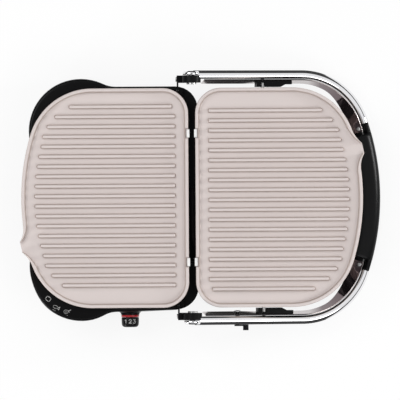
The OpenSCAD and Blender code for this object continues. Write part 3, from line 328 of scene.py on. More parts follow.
def skin(rings):
    n = len(rings[0])
    verts = [p for ring in rings for p in ring]
    faces = []
    for k in range(len(rings) - 1):
        for i in range(n):
            j = (i + 1) % n
            faces.append((k * n + i, k * n + j, (k + 1) * n + j, (k + 1) * n + i))
    faces.append(tuple(range(n))[::-1])
    faces.append(tuple((len(rings) - 1) * n + i for i in range(n)))
    return verts, faces


def settle(piece):
    graph = bpy.context.evaluated_depsgraph_get()
    mesh = bpy.data.meshes.new_from_object(piece.evaluated_get(graph))
    piece.modifiers.clear()
    piece.data = mesh
    mesh.name = piece.name
    return piece


def carve(piece, tool, operation="DIFFERENCE"):
    bpy.context.view_layer.update()
    cut = piece.modifiers.new("cut", "BOOLEAN")
    cut.operation = operation
    cut.object = tool
    cut.solver = "MANIFOLD"
    settle(piece)
    bpy.data.objects.remove(tool)
    return piece


def join(name, pieces):
    mesh = bpy.data.meshes.new(name)
    merged = bmesh.new()
    slots = []
    for piece in pieces:
        here = []
        for material in piece.data.materials:
            if material not in slots:
                slots.append(material)
            here.append(slots.index(material))
        count = len(merged.faces)
        merged.from_mesh(piece.data)
        merged.faces.ensure_lookup_table()
        for face in merged.faces[count:]:
            face.material_index = here[face.material_index] if here else 0
        bpy.data.objects.remove(piece)
    merged.to_mesh(mesh)
    merged.free()
    for material in slots:
        mesh.materials.append(material)
    whole = bpy.data.objects.new(name, mesh)
    bpy.context.scene.collection.objects.link(whole)
    return whole


def bevel(piece, width, segments, angle):
    rim = piece.modifiers.new("edge", "BEVEL")
    rim.width = width
    rim.segments = segments
    rim.limit_method = "ANGLE"
    rim.angle_limit = math.radians(angle)


def prism(name, outline, low, high, material, edge=0.0):
    rings = [[Vector((x, y, z)) for x, y in outline] for z in (low, high)]
    verts, faces = skin(rings)
    piece = mesh_piece(name, verts, faces, material)
    if edge:
        bevel(piece, edge, 3, 30)
        settle(piece)
    return piece


coating = make_finish("beige_coating", (0.650, 0.583, 0.562), 0.46, specular=0.35, grain=2600.0, bump=0.25,
                      depth=0.00006, vary=0.035, blotch=18.0, rough_vary=0.05, painted_flank_shade=(0.48, 0.40, 0.36))
plate_len = 221.0
plate_half = 145.0
plate_front_r = 290.0
plate_corner_r = 85.0
plate_rear_r = 34.0
plate_rear = -4.6
plate_front = plate_rear - plate_len
plate_z = 69.5
floor_z = 73.0
rim_z = 80.0
spout_reach = 7.9
spout_root = (34.5, 89.2)
spout_tip = (57.2, 71.0)
spout_bend = (2.3, 2.1)
spout_wall = (5.2, 2.4)
spout_lip = 1.6
spout_rings = 4.0
spout_side = -120.0
spout_steps = 14
channel_spread = 1.3
channel_levels = [(floor_z + 0.02, 0.0), (rim_z + 0.05, channel_spread), (rim_z + 3, channel_spread)]
channel_end = (9.0, 2.0)
channel_past = 4.0
notch_half = 6.6
notch_depth = 4.2
notch_floor = 5.5
clip_y = 85.0
lug_x = (-203, -200)
lug_half = 10
lug_foot = 60.0
window_half = 6
window_z = (62.0, 65.0)
rib_count = 19
rib_pitch = 13.1
rib_shift = 3.0
rib_margin = 17.6
rib_half = 2.2
rib_corner_gain = 1.8
rib_rear_band = 27
rib_rear_cut = 4.2
rib_end_power = 0.45


def plate_edge(y, inset):
    cy = plate_half - plate_corner_r
    turn = math.asin(cy / (plate_front_r - plate_corner_r))
    fx = plate_front + plate_front_r
    if abs(y) < (plate_front_r - inset) * math.sin(turn):
        return fx - math.sqrt((plate_front_r - inset) ** 2 - y * y)
    cx = fx - (plate_front_r - plate_corner_r) * math.cos(turn)
    return cx - math.sqrt(max(0.0, (plate_corner_r - inset) ** 2 - (abs(y) - cy) ** 2))


def spout_push(y):
    if spout_root[0] < y < spout_tip[0]:
        return spout_reach * ((y - spout_root[0]) / (spout_tip[0] - spout_root[0])) ** spout_bend[0]
    if spout_tip[0] <= y <= spout_tip[1]:
        return spout_reach
    if spout_tip[1] < y < spout_root[1]:
        return spout_reach * ((spout_root[1] - y) / (spout_root[1] - spout_tip[1])) ** spout_bend[1]
    return 0.0


def node_chain(tree):
    def put(operation, *values):
        node = tree.nodes.new("ShaderNodeMath")
        node.operation = operation
        for socket, value in zip(node.inputs, values):
            if isinstance(value, (int, float)):
                socket.default_value = value
            else:
                tree.links.new(value, socket)
        return node.outputs[0]
    return put


def rib_field_tree(material):
    tree = bpy.data.node_groups.new("rib_field", "GeometryNodeTree")
    face = tree.interface
    face.new_socket("Geometry", in_out="INPUT", socket_type="NodeSocketGeometry")
    face.new_socket("Geometry", in_out="OUTPUT", socket_type="NodeSocketGeometry")
    face.new_socket("Count", in_out="INPUT", socket_type="NodeSocketInt")
    for label in ("Pitch", "Shift", "Front centre", "Front radius", "Front half width", "Corner centre X",
                  "Corner centre Y", "Corner radius", "Rear end", "Rear corner Y", "Rear corner cut"):
        face.new_socket(label, in_out="INPUT", socket_type="NodeSocketFloat")
    given = tree.nodes.new("NodeGroupInput").outputs
    put = node_chain(tree)
    first = put("SUBTRACT", given["Shift"], put("MULTIPLY", put("SUBTRACT", given["Count"], 1.0),
                                                put("MULTIPLY", given["Pitch"], 0.5)))
    start = tree.nodes.new("ShaderNodeCombineXYZ")
    tree.links.new(first, start.inputs["Y"])
    step = tree.nodes.new("ShaderNodeCombineXYZ")
    tree.links.new(given["Pitch"], step.inputs["Y"])
    row = tree.nodes.new("GeometryNodeMeshLine")
    tree.links.new(given["Count"], row.inputs["Count"])
    tree.links.new(start.outputs[0], row.inputs["Start Location"])
    tree.links.new(step.outputs[0], row.inputs["Offset"])
    copies = tree.nodes.new("GeometryNodeInstanceOnPoints")
    tree.links.new(row.outputs[0], copies.inputs["Points"])
    tree.links.new(given["Geometry"], copies.inputs["Instance"])
    real = tree.nodes.new("GeometryNodeRealizeInstances")
    tree.links.new(copies.outputs[0], real.inputs[0])
    where = tree.nodes.new("GeometryNodeInputPosition")
    parts = tree.nodes.new("ShaderNodeSeparateXYZ")
    tree.links.new(where.outputs[0], parts.inputs[0])
    number = put("ROUND", put("DIVIDE", put("SUBTRACT", parts.outputs["Y"], first), given["Pitch"]))
    middle = put("ABSOLUTE", put("ADD", first, put("MULTIPLY", number, given["Pitch"])))
    wide = put("SUBTRACT", given["Front centre"], put("SQRT", put("SUBTRACT", put(
        "MULTIPLY", given["Front radius"], given["Front radius"]), put("MULTIPLY", middle, middle))))
    off = put("SUBTRACT", middle, given["Corner centre Y"])
    corner = put("SUBTRACT", given["Corner centre X"], put("SQRT", put("SUBTRACT", put(
        "MULTIPLY", given["Corner radius"], given["Corner radius"]), put("MULTIPLY", off, off))))
    in_front = put("LESS_THAN", middle, given["Front half width"])
    in_corner = put("SUBTRACT", 1.0, in_front)
    front = put("ADD", put("MULTIPLY", wide, in_front), put("MULTIPLY", corner, in_corner))
    is_front = put("LESS_THAN", parts.outputs["X"], 0.0)
    rear = put("SUBTRACT", given["Rear end"], put("MULTIPLY", given["Rear corner cut"],
                                                  put("GREATER_THAN", middle, given["Rear corner Y"])))
    is_rear = put("SUBTRACT", 1.0, is_front)
    shift = put("ADD", put("MULTIPLY", front, is_front), put("MULTIPLY", rear, is_rear))
    move = tree.nodes.new("ShaderNodeCombineXYZ")
    tree.links.new(shift, move.inputs["X"])
    drawn = tree.nodes.new("GeometryNodeSetPosition")
    tree.links.new(real.outputs[0], drawn.inputs["Geometry"])
    tree.links.new(move.outputs[0], drawn.inputs["Offset"])
    finish = tree.nodes.new("GeometryNodeSetMaterial")
    finish.inputs["Material"].default_value = material
    tree.links.new(drawn.outputs[0], finish.inputs["Geometry"])
    result = tree.nodes.new("NodeGroupOutput")
    tree.links.new(finish.outputs[0], result.inputs[0])
    return tree


rib_rings = [(0.95, -0.6), (0.9, 0.0), (0.7, 0.25), (0.6, 0.7), (-0.2, 4.3), (-0.45, 4.95), (-0.9, 5.3),
             (-1.5, 5.4)]
rib_points = 28
rib_turns = [math.radians(360 * (i + 0.5) / rib_points) for i in range(rib_points)]


def rib_point(t, size):
    power = rib_end_power if math.cos(t) > 0 else 1.0
    return (size * math.copysign(abs(math.cos(t)) ** power, math.cos(t)),
            size * math.copysign(abs(math.sin(t)) ** power, math.sin(t)))


rib_verts, rib_faces = skin([
    [Vector((*rib_point(t, rib_half + grow), floor_z + rise)) for t in rib_turns]
    for grow, rise in rib_rings
])
rib_tree = rib_field_tree(coating)
corner_turn = math.asin((plate_half - plate_corner_r) / (plate_front_r - plate_corner_r))
corner_in = (plate_front_r - plate_corner_r) * math.cos(corner_turn)
rib_inset = rib_margin + rib_half
rib_inputs = {
    "Count": rib_count, "Pitch": rib_pitch, "Shift": rib_shift,
    "Front centre": plate_front + plate_front_r, "Front radius": plate_front_r - rib_inset,
    "Front half width": (plate_front_r - rib_inset) * math.sin(corner_turn),
    "Corner centre X": plate_front + plate_front_r - corner_in,
    "Corner centre Y": plate_half - plate_corner_r,
    "Corner radius": plate_corner_r - rib_inset + rib_corner_gain,
    "Rear end": plate_rear - rib_inset, "Rear corner Y": plate_half - rib_rear_band,
    "Rear corner cut": rib_rear_cut,
}
casting_rings = [
    (2.4, 0.0), (1.0, 0.0), (0.3, 0.35), (0.0, 1.1), (0.0, 8.9), (0.18, 9.6), (0.6, 10.15), (1.3, 10.45),
    (2.0, 10.5), (3.2, 10.5), (3.8, 10.36), (4.25, 9.9), (4.5, 9.1), (5.3, 5.0), (5.8, 4.1), (6.7, 3.6),
    (8.2, 3.5),
]


def cooking_plate(name, turned):
    breaks = [math.degrees(math.asin(y / plate_front_r)) for y in (spout_root[0], *spout_tip)]
    rings = []
    for inset, rise in casting_rings:
        outline = front_outline(plate_front, plate_rear, plate_half, plate_front_r, plate_corner_r,
                                plate_rear_r, inset, breaks)
        scale = plate_front_r / (plate_front_r - inset)
        reach = 1.0 if inset < spout_rings else 0.0
        rings.append([Vector((x - reach * spout_push(-y * scale) * (x < spout_side), y, plate_z + rise))
                      for x, y in outline])
    verts, faces = skin(rings)
    body = mesh_piece("casting", verts, faces, coating)
    channel = []
    for height, spread in channel_levels:
        flare = []
        for root, tip in [(spout_root[0], spout_tip[0]), (spout_root[1], spout_tip[1])]:
            line = []
            for i in range(spout_steps + 1):
                share = i / spout_steps
                y = root + (tip - root) * share
                wall = spout_wall[0] + (spout_wall[1] - spout_wall[0]) * share - spread
                line.append((plate_edge(y, 0) - spout_push(y) + wall, -y))
            side = 1 if tip > root else -1
            line.append((plate_edge(tip, 0) - spout_push(tip) - channel_past,
                         -tip - side * (spout_lip - spread * 0.6)))
            line.insert(0, (line[0][0] + channel_end[0], line[0][1] + side * channel_end[1]))
            flare.append(line)
        channel.append([Vector((x, y, height)) for x, y in flare[0] + flare[1][::-1]])
    verts, faces = skin(channel)
    carve(body, mesh_piece("spout_channel", verts, faces, coating))
    for side in (-1, 1):
        gap = rectangle(plate_rear - notch_depth, plate_rear + 1, side * clip_y - notch_half,
                        side * clip_y + notch_half)
        carve(body, prism("clip_notch", gap, plate_z + notch_floor, rim_z + 1, coating))
    ribs = mesh_piece("ribs", rib_verts, rib_faces, None)
    field = ribs.modifiers.new("rib_field", "NODES")
    field.node_group = rib_tree
    for item in rib_tree.interface.items_tree:
        if item.in_out == "INPUT" and item.name in rib_inputs:
            field[item.identifier] = rib_inputs[item.name]
    settle(ribs)
    lug = prism("latch_lug", rectangle(*lug_x, -lug_half, lug_half), lug_foot, plate_z + 0.1, coating, 0.4)
    hole = rectangle(lug_x[0] - 1, lug_x[1] + 1, -window_half, window_half)
    carve(lug, prism("lug_window", hole, *window_z, coating))
    plate = join(name, [body, ribs, lug])
    way = -0.001 if turned else 0.001
    plate.data.transform(Matrix.Translation(at(0, 0, 0)) @ Matrix.Diagonal((way, way, 0.001, 1)))
    shade(plate, 32)
    return plate


for name, turned, body in [("lower_plate", False, "base"), ("upper_plate", True, "lid")]:
    plate = cooking_plate(name + "_casting", turned)
    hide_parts(name)
    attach(plate, body)


# The housing under the lower plate, with its cover, and the shell of the lid. Both are moulded in black
# plastic with a fine grain and rounded edges, and are held by screws from below and behind. The housing's
# skirt swells a little on the knob's side, but not round the neck of the knob.
def round_off(name, body, material, edge, segments=2, angle=28, flat=0.6, form=None):
    mesh = frame["nodes"][name].data.copy()
    mesh.name = name + "_rounded"
    if form:
        for v in mesh.vertices:
            v.co = form(v.co)
    tidy = bmesh.new()
    tidy.from_mesh(mesh)
    bmesh.ops.remove_doubles(tidy, verts=tidy.verts, dist=3e-6)
    bmesh.ops.dissolve_limit(tidy, angle_limit=math.radians(flat), verts=tidy.verts, edges=tidy.edges)
    bmesh.ops.recalc_face_normals(tidy, faces=tidy.faces)
    tidy.to_mesh(mesh)
    tidy.free()
    for label in ("custom_normal", "sharp_edge", "sharp_face"):
        if label in mesh.attributes:
            mesh.attributes.remove(mesh.attributes[label])
    mesh.materials.clear()
    mesh.materials.append(material)
    piece = bpy.data.objects.new(name + "_rounded", mesh)
    bpy.context.scene.collection.objects.link(piece)
    shade(piece, angle)
    if edge:
        bevel(piece, edge / 1000, segments, angle)
        even = piece.modifiers.new("even", "WEIGHTED_NORMAL")
        even.keep_sharp = True
        settle(piece)
    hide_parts(name)
    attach(piece, body)
    return piece


housing = make_finish("black_housing", (0.0034, 0.0035, 0.0038), 0.34, specular=0.07, grain=1500.0,
                      bump=0.10, depth=0.00005, vary=0.18, blotch=24.0, rough_vary=0.05, coat=0.09)
cover_black = make_finish("black_cover", (0.010, 0.010, 0.011), 0.55, specular=0.3, grain=1200.0, bump=0.2,
                          depth=0.00006, vary=0.15, blotch=24.0)
skirt_swell = 2.9
lobe_swell = 1.3
lobe_span = (105, 135)
side_span = (105, 140)
rear_span = (12, 45)
foot_span = (8, 22)
neck_x = -83
neck_half = 16
neck_span = (147.6, 153.9)


def ease(value, low, high):
    u = min(1.0, max(0.0, (value - low) / (high - low)))
    return u * u * (3 - 2 * u)


def swell(co):
    x = (co.x - hinge.x) * 1000
    y = (co.y - hinge.y) * 1000
    reach = skirt_swell + lobe_swell * ease(-x, *lobe_span)
    share = ease(-y, *side_span) * ease(-x, *rear_span) * ease(co.z * 1000, *foot_span)
    if abs(x - neck_x) < neck_half:
        share *= 1 - ease(-y, *neck_span)
    return Vector((co.x, co.y - reach * share / 1000, co.z))


round_off("base_shell", "base", housing, 0.5, form=swell)
round_off("lid_shell", "lid", housing, 0.5)
round_off("base_bottom_cover", "base", cover_black, 0.4)


# The metal of the springs, clips and screws: zinc-plated and plain spring steel, bent or cold-headed, with
# the fine scratches of handling. The clips show bright in the plates' notches.
clip_steel = make_finish("clip_steel", (0.92, 0.92, 0.91), 0.55, metallic=1.0, grain=500.0, bump=0.08,
                         depth=0.00004, vary=0.05, blotch=60.0, stretch=(1.0, 14.0, 1.0))
zinc = make_finish("zinc_steel", (0.60, 0.60, 0.60), 0.34, metallic=1.0, grain=900.0, bump=0.1,
                   depth=0.00004, vary=0.08, blotch=90.0)
for name, body in [("lower_plate_clips", "base"), ("upper_plate_clips", "lid")]:
    round_off(name, body, clip_steel, 0.25)
for name, body in [("base_screws", "base"), ("bracket_screws", "base"), ("hinge_pins", "base"),
                   ("lock_washer", "lock")]:
    round_off(name, body, zinc, 0.2)


# The hinges: a glass-filled black block on a steel bracket at each rear corner, and the small bracket inside
# each arm in which the lid hangs on a white pin. The lever on the right arm turns to lock the lid.
bracket_black = make_finish("bracket_black", (0.0045, 0.0045, 0.0050), 0.38, specular=0.09, grain=1100.0,
                            bump=0.14, depth=0.00006, vary=0.15, blotch=40.0)
pin_white = make_finish("white_pin", (0.94, 0.94, 0.93), 0.42, specular=0.4, grain=800.0, bump=0.08,
                        depth=0.00004, vary=0.03, blotch=60.0)
for name, body in [("hinge_block_left", "base"), ("hinge_block_right", "base"),
                   ("hinge_bracket_left", "base"), ("hinge_bracket_right", "base"),
                   ("pivot_bracket_left", "arms"), ("pivot_bracket_right", "arms"), ("lock_lever", "lock")]:
    round_off(name, body, bracket_black, 0.5)
round_off("lid_pivot_pins", "arms", pin_white, 0.3)


# The handle's frame: a chromed bar on each side, bent from the hinge along the lid and round its corner to
# the grip. Its section is humped above and below, and its rear end is forged into an eye round the hinge pin.
def arm_ring(side, p, n, section, size=1.0):
    return [on_arm(p[0] + n[0] * q[0] * size, side * (p[1] + n[1] * q[0] * size), q[1] * size)
            for q in section]


arm_half = 168.0
front_x = -48.8
front_r = 308.0
corner_x = 149.896
corner_y = 71.0
corner_r = 97.0
arm_tangent = 19.6633
bar_wide = 11.3
bar_start = 1.0
bar_end = 18.9273
bar_end_round = 0.28
bar_end_rings = [(0.35, 0.985), (0.62, 0.95), (0.82, 0.89), (0.95, 0.80), (1.0, 0.68)]
past_corner = 400.0
straight_steps = 24
front_steps = 6
eye_r = 11.6
eye_profile = [(162.1, 1.2), (162.3, 0.5), (162.8, 0.1), (163.4, 0.0), (164.8, 0.0), (165.4, 0.25),
               (166.1, 0.72), (166.7, 1.16), (167.15, 1.5), (167.2, 2.2)]
chrome = make_finish("bright_chrome", (0.86, 0.86, 0.87), 0.055, metallic=1.0, grain=420.0, bump=0.02,
                     depth=0.00003, vary=0.02, blotch=22.0, rough_vary=0.02)
bar_top = [(5.65, 5.6), (5.6, 6.05), (4.9, 6.58), (4.2, 7.1), (3.5, 7.6), (2.8, 8.07), (2.2, 8.45),
           (1.6, 8.76), (0.8, 8.92), (0.0, 8.98), (-0.9, 9.0), (-1.8, 8.95), (-2.6, 8.82), (-3.2, 8.6),
           (-3.9, 8.2), (-4.6, 7.75), (-5.3, 7.25), (-5.65, 6.9), (-5.65, 5.9)]
bar_section = bar_top + [(x, -z) for x, z in bar_top[::-1]]


def arm_path(edge, start, end_angle, steps):
    stations = []
    run = corner_x - start
    for i in range(straight_steps):
        x = start + run * i / straight_steps
        stations.append(((x, arm_half - edge), (0.0, 1.0), x))
    for i in range(steps + 1):
        a = math.radians(90 - (90 - arm_tangent) * i / steps)
        r = corner_r - edge
        stations.append(((corner_x + r * math.cos(a), corner_y + r * math.sin(a)),
                         (math.cos(a), math.sin(a)), corner_x + r * (math.pi / 2 - a)))
    for i in range(1, front_steps + 1):
        a = math.radians(arm_tangent - (arm_tangent - end_angle) * i / front_steps)
        r = front_r - edge
        stations.append(((front_x + r * math.cos(a), r * math.sin(a)), (math.cos(a), math.sin(a)),
                         past_corner))
    return stations


for side, name in [(1, "arm_bar_left"), (-1, "arm_bar_right")]:
    path = arm_path(bar_wide / 2, bar_start, bar_end, 72)
    rings = [arm_ring(side, p, n, bar_section) for p, n, s in path]
    for grow, size in bar_end_rings:
        a = math.radians(bar_end - grow * bar_end_round + bar_end_round)
        r = front_r - bar_wide / 2
        rings.append(arm_ring(side, (front_x + r * math.cos(a), r * math.sin(a)),
                              (math.cos(a), math.sin(a)), bar_section, size))
    verts, faces = skin(rings)
    bar = mesh_piece("bar", verts, faces, chrome, 50)
    turns = [2 * math.pi * i / 72 for i in range(72)]
    eye_rings = [
        [on_arm((eye_r - drop) * math.cos(t), side * y, (eye_r - drop) * math.sin(t)) for t in turns]
        for y, drop in eye_profile
    ]
    verts, faces = skin(eye_rings)
    eye = mesh_piece("eye", verts, faces, chrome, 50)
    whole = join(name + "_chrome", [bar, eye])
    shade(whole, 40)
    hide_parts(name)
    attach(whole, "arms")


# The strip inside each bar: polished stainless sheet that stands nearly upright along the lid and twists over
# towards the corner, until it lies almost flat where the grip's screw goes through it.
strip_edge = 11.6
strip_top = 6.0
strip_wide = 16.0
strip_thick = 1.6
strip_soft = 0.3
strip_start = 16.0
strip_end = 17.0668
strip_twist = (188, 265)
strip_lean_first = 16
strip_lean_gain = 56
strip_painted_reflection = (155, 171)
edge_painted_shade = (150, 170)
polished = make_finish("polished_strip", (0.60, 0.56, 0.56), 0.10, metallic=0.94, grain=300.0, bump=0.03,
                       depth=0.00004, vary=0.04, blotch=30.0, rough_vary=0.03)
edge_steel = make_finish("strip_edge", (0.80, 0.72, 0.70), 0.30, metallic=0.9, grain=300.0, bump=0.03,
                         depth=0.00004, vary=0.04, blotch=30.0, rough_vary=0.03)


def paint_shade_along(finish, start, end, color, first):
    tree = finish.node_tree
    shader = tree.nodes["Principled BSDF"]
    spot = tree.nodes.new("ShaderNodeTexCoord")
    axes = tree.nodes.new("ShaderNodeSeparateXYZ")
    tree.links.new(spot.outputs["Object"], axes.inputs[0])
    share = tree.nodes.new("ShaderNodeMapRange")
    share.inputs["From Min"].default_value = at(start, 0, 0).x
    share.inputs["From Max"].default_value = at(end, 0, 0).x
    tree.links.new(axes.outputs["X"], share.inputs["Value"])
    mix = tree.nodes.new("ShaderNodeMix")
    mix.data_type = "RGBA"
    mix.inputs["A" if first else "B"].default_value = (*color, 1)
    tree.links.new(share.outputs["Result"], mix.inputs["Factor"])
    tree.links.new(shader.inputs["Base Color"].links[0].from_socket, mix.inputs["B" if first else "A"])
    tree.links.new(mix.outputs["Result"], shader.inputs["Base Color"])


# Painted dark reflection: the polished face turns dark brown from X 155 to 171 mm, towards the corner.
paint_shade_along(polished, *strip_painted_reflection, (0.20, 0.160, 0.168), False)
# Painted shade: the strip's edges are near-black up to X 150 mm and take the edge steel's colour by X 170 mm.
paint_shade_along(edge_steel, *edge_painted_shade, (0.030, 0.028, 0.030), True)


strip_outline = [
    (0, strip_soft), (strip_soft, 0), (strip_thick - strip_soft, 0), (strip_thick, strip_soft),
    (strip_thick, strip_wide - strip_soft), (strip_thick - strip_soft, strip_wide),
    (strip_soft, strip_wide), (0, strip_wide - strip_soft),
]


def strip_ring(side, p, n, lean):
    c = math.cos(lean)
    s = math.sin(lean)
    ring = []
    for across, along in strip_outline:
        inward = across * c + along * s
        ring.append(on_arm(p[0] - n[0] * inward, side * (p[1] - n[1] * inward),
                           strip_top + across * s - along * c))
    return ring


def strip_lean(s):
    return math.radians(strip_lean_first + strip_lean_gain * ease(s, *strip_twist))


for side, name in [(1, "arm_strip_left"), (-1, "arm_strip_right")]:
    path = arm_path(strip_edge, strip_start, strip_end, 90)
    rings = [strip_ring(side, p, n, strip_lean(s)) for p, n, s in path]
    verts, faces = skin(rings)
    strip = mesh_piece(name + "_polished", verts, faces, polished, 24)
    strip.data.materials.append(edge_steel)
    for face in strip.data.polygons[:-2]:
        if face.index % len(strip_outline) < 3:
            face.material_index = 1
    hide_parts(name)
    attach(strip, "arms")


# The grip: two black moulded halves that meet in a fine seam and close round a flat steel core. At each end a
# thinner strand runs on along the bar, and a screw through the strip's end holds a lug of the lower half.
def soft_section(wide, high, n, power=0.75):
    turns = [2 * math.pi * i / n for i in range(n)]
    return [(wide / 2 * math.copysign(abs(math.cos(t)) ** power, math.cos(t)),
             high / 2 * math.copysign(abs(math.sin(t)) ** power, math.sin(t))) for t in turns]


grip_mid_r = 290.0
grip_full = 16.2137
grip_end = 18.8673
grip_round = 0.30
grip_end_rings = [(0.0, 0.80), (0.03, 0.90), (0.09, 0.955), (0.18, 0.985), (grip_round, 1.0)]
grip_section = soft_section(36.0, 26.0, 72)
strand_r = 302.85
strand_section = soft_section(9.5, 19.0, 40)
strand_turns = [*(grip_full + past for past in (-1.5, -0.5, 0.5, 1.3, 2.0)), grip_end - 0.25]
seam_z = 2.0
seam_half = 0.12
grip_reach = 20.0
grip_span = (150, 280, -120, 120)
grip_edge = 0.35
grip_steps = 60
lug_steps = 8
lug_section = [(284.5, -6.0), (296.2, -6.0), (296.2, 2.6), (284.5, -0.9)]
lug_start = grip_full - 0.6
lug_end = 19.2
grip_black = make_finish("grip_black", (0.0034, 0.0035, 0.0038), 0.30, specular=0.07, grain=1300.0,
                         bump=0.10, depth=0.00005, vary=0.15, blotch=30.0, rough_vary=0.04, coat=0.09)


def front_ring(a, r, section, size=1.0):
    a = math.radians(a)
    spots = [(r + q[0] * size, q[1] * size) for q in section]
    return [Vector((front_x + out * math.cos(a), out * math.sin(a), z)) for out, z in spots]


def grip_body():
    first = grip_round - grip_full
    rings = [front_ring(-grip_full + turn, grip_mid_r, grip_section, size)
             for turn, size in grip_end_rings]
    rings += [front_ring(first - 2 * first * i / grip_steps, grip_mid_r, grip_section)
              for i in range(1, grip_steps)]
    rings += [front_ring(grip_full - turn, grip_mid_r, grip_section, size)
              for turn, size in grip_end_rings[::-1]]
    verts, faces = skin(rings)
    body = mesh_piece("grip_body", verts, faces, grip_black, 40)
    for side in (-1, 1):
        rings = [front_ring(side * a, strand_r, strand_section) for a in strand_turns]
        rings += [front_ring(side * (grip_end - 0.1), strand_r, strand_section, 0.97),
                  front_ring(side * grip_end, strand_r, strand_section, 0.9)]
        verts, faces = skin(rings)
        carve(body, mesh_piece("strand", verts, faces, grip_black), "UNION")
    return body


for name, low, high in [("grip_upper", seam_z + seam_half, grip_reach),
                        ("grip_lower", -grip_reach, seam_z - seam_half)]:
    half = grip_body()
    keep = prism("keep", rectangle(*grip_span), low, high, grip_black)
    carve(half, keep, "INTERSECT")
    if name == "grip_lower":
        for side in (-1, 1):
            turns = [lug_start + (lug_end - lug_start) * i / lug_steps for i in range(lug_steps + 1)]
            rings = [front_ring(side * a, 0.0, lug_section) for a in turns]
            verts, faces = skin(rings)
            carve(half, mesh_piece("lug", verts, faces, grip_black), "UNION")
    bevel(half, grip_edge, 2, 50)
    settle(half)
    half.data = half.data.copy()
    for v in half.data.vertices:
        v.co = on_arm(v.co.x, v.co.y, v.co.z)
    half.name = name + "_moulded"
    shade(half, 40)
    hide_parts(name)
    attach(half, "arms")
round_off("grip_core", "arms", zinc, 0.3)
round_off("grip_screws", "arms", zinc, 0.3)


# The knob of the thermostat: glossy black plastic with a rounded end and printed numbers, in front of a red
# ring. It sits on a flatted shaft that turns the thermostat inside.
knob_centre = joint_pos["thermostat_turn"] - hinge
knob_x = knob_centre.x * 1000
knob_z = hinge_z + knob_centre.z * 1000
knob_black = make_finish("knob_black", (0.0040, 0.0040, 0.0044), 0.24, specular=0.12, grain=900.0, bump=0.04,
                         depth=0.00004, vary=0.12, blotch=60.0, coat=0.05)
print_pale = make_finish("pale_print", (0.50, 0.50, 0.49), 0.55, specular=0.2, grain=1500.0, bump=0.08,
                         depth=0.00003, vary=0.08, blotch=200.0)
ring_red = make_finish("red_ring", (0.42, 0.010, 0.016), 0.32, specular=0.3, grain=900.0, bump=0.05,
                       depth=0.00004, vary=0.06, blotch=90.0)
knob_profile = [(-157.8, 10.4), (-157.85, 11.1), (-158.2, 11.5), (-159.0, 11.62), (-163.0, 11.55),
                (-166.5, 11.35), (-168.2, 11.0), (-169.5, 10.3), (-170.4, 9.2), (-170.85, 7.9),
                (-171.0, 6.6), (-170.85, 5.9), (-170.5, 5.3), (-170.4, 3.0), (-170.35, 0.6)]
ring_profile = [(-153.9, 9.0), (-153.95, 11.2), (-154.2, 11.75), (-157.1, 11.8), (-157.4, 11.6),
                (-157.5, 10.9), (-157.5, 5.0)]
seat_profile = [(-153.85, 8.0), (-153.9, 11.9), (-154.9, 11.9), (-155.0, 11.7), (-155.0, 8.0)]
digit_size = 2.9
digit_line = 0.28
print_bend = 11.5
print_r = 11.6
print_y = -165.6


def turned_piece(name, profile, material, smooth, n=72):
    turns = [2 * math.pi * i / n for i in range(n)]
    verts, faces = skin([[at(knob_x + r * math.cos(t), y, knob_z + r * math.sin(t)) for t in turns]
                         for y, r in profile])
    return mesh_piece(name, verts, faces, material, smooth)


def print_lines(name, lines, width, place, material):
    verts = []
    faces = []
    for line in lines:
        for (u0, v0), (u1, v1) in zip(line, line[1:]):
            run = math.hypot(u1 - u0, v1 - v0)
            du = (u1 - u0) / run * width / 2
            dv = (v1 - v0) / run * width / 2
            first = len(verts)
            for share in (0.0, 0.5, 1.0):
                u = u0 + (u1 - u0) * share + du * (2 * share - 1)
                v = v0 + (v1 - v0) * share + dv * (2 * share - 1)
                for side, rise in ((-1, -0.1), (1, -0.1), (1, 0.1), (-1, 0.1)):
                    verts.append(place(u - dv * side, v + du * side, rise))
            for k in (0, 4):
                for i in range(4):
                    j = (i + 1) % 4
                    faces.append((first + k + i, first + k + j, first + k + 4 + j, first + k + 4 + i))
            faces.append((first + 3, first + 2, first + 1, first))
            faces.append((first + 8, first + 9, first + 10, first + 11))
    piece = bare_piece(name, verts, faces, False)
    piece.data.materials.append(material)
    return piece


knob = turned_piece("knob_body", knob_profile, knob_black, 40)
digit_shapes = {
    -29: [[(-0.35, 1.3), (0.0, 1.6), (0.0, 0.0)]],
    0: [[(-0.5, 1.3), (-0.2, 1.6), (0.3, 1.6), (0.5, 1.3), (0.45, 0.95), (-0.5, 0.0), (0.5, 0.0)]],
    29: [[(-0.45, 1.6), (0.45, 1.6), (0.0, 0.95), (0.4, 0.8), (0.5, 0.4), (0.2, 0.0), (-0.45, 0.08)]],
}


def on_knob(turn):
    def place(u, v, rise):
        a = math.radians(90 - turn) - u * digit_size / print_bend
        r = print_r + rise
        return at(knob_x + r * math.cos(a), print_y + v * digit_size, knob_z + r * math.sin(a))
    return place


digits = [print_lines("digit", lines, digit_line, on_knob(turn), print_pale)
          for turn, lines in digit_shapes.items()]
knob = join("thermostat_knob_moulded", [knob, *digits])
shade(knob, 40)
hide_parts("thermostat_knob")
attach(knob, "knob")
ring = turned_piece("knob_ring_red", ring_profile, ring_red, 35)
ring = join("knob_ring_whole", [ring, turned_piece("seat", seat_profile, knob_black, 35)])
shade(ring, 35)
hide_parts("knob_ring")
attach(ring, "base")


# The three cooking signs printed on the front corner of the housing, with a short line under each: a slice of
# toast, a fish, and a pan. They are generic drawings in pale grey ink.
def ring_line(cx, cy, rx, ry, n=14):
    turns = [2 * math.pi * i / n for i in range(n + 1)]
    return [(cx + rx * math.cos(t), cy + ry * math.sin(t)) for t in turns]


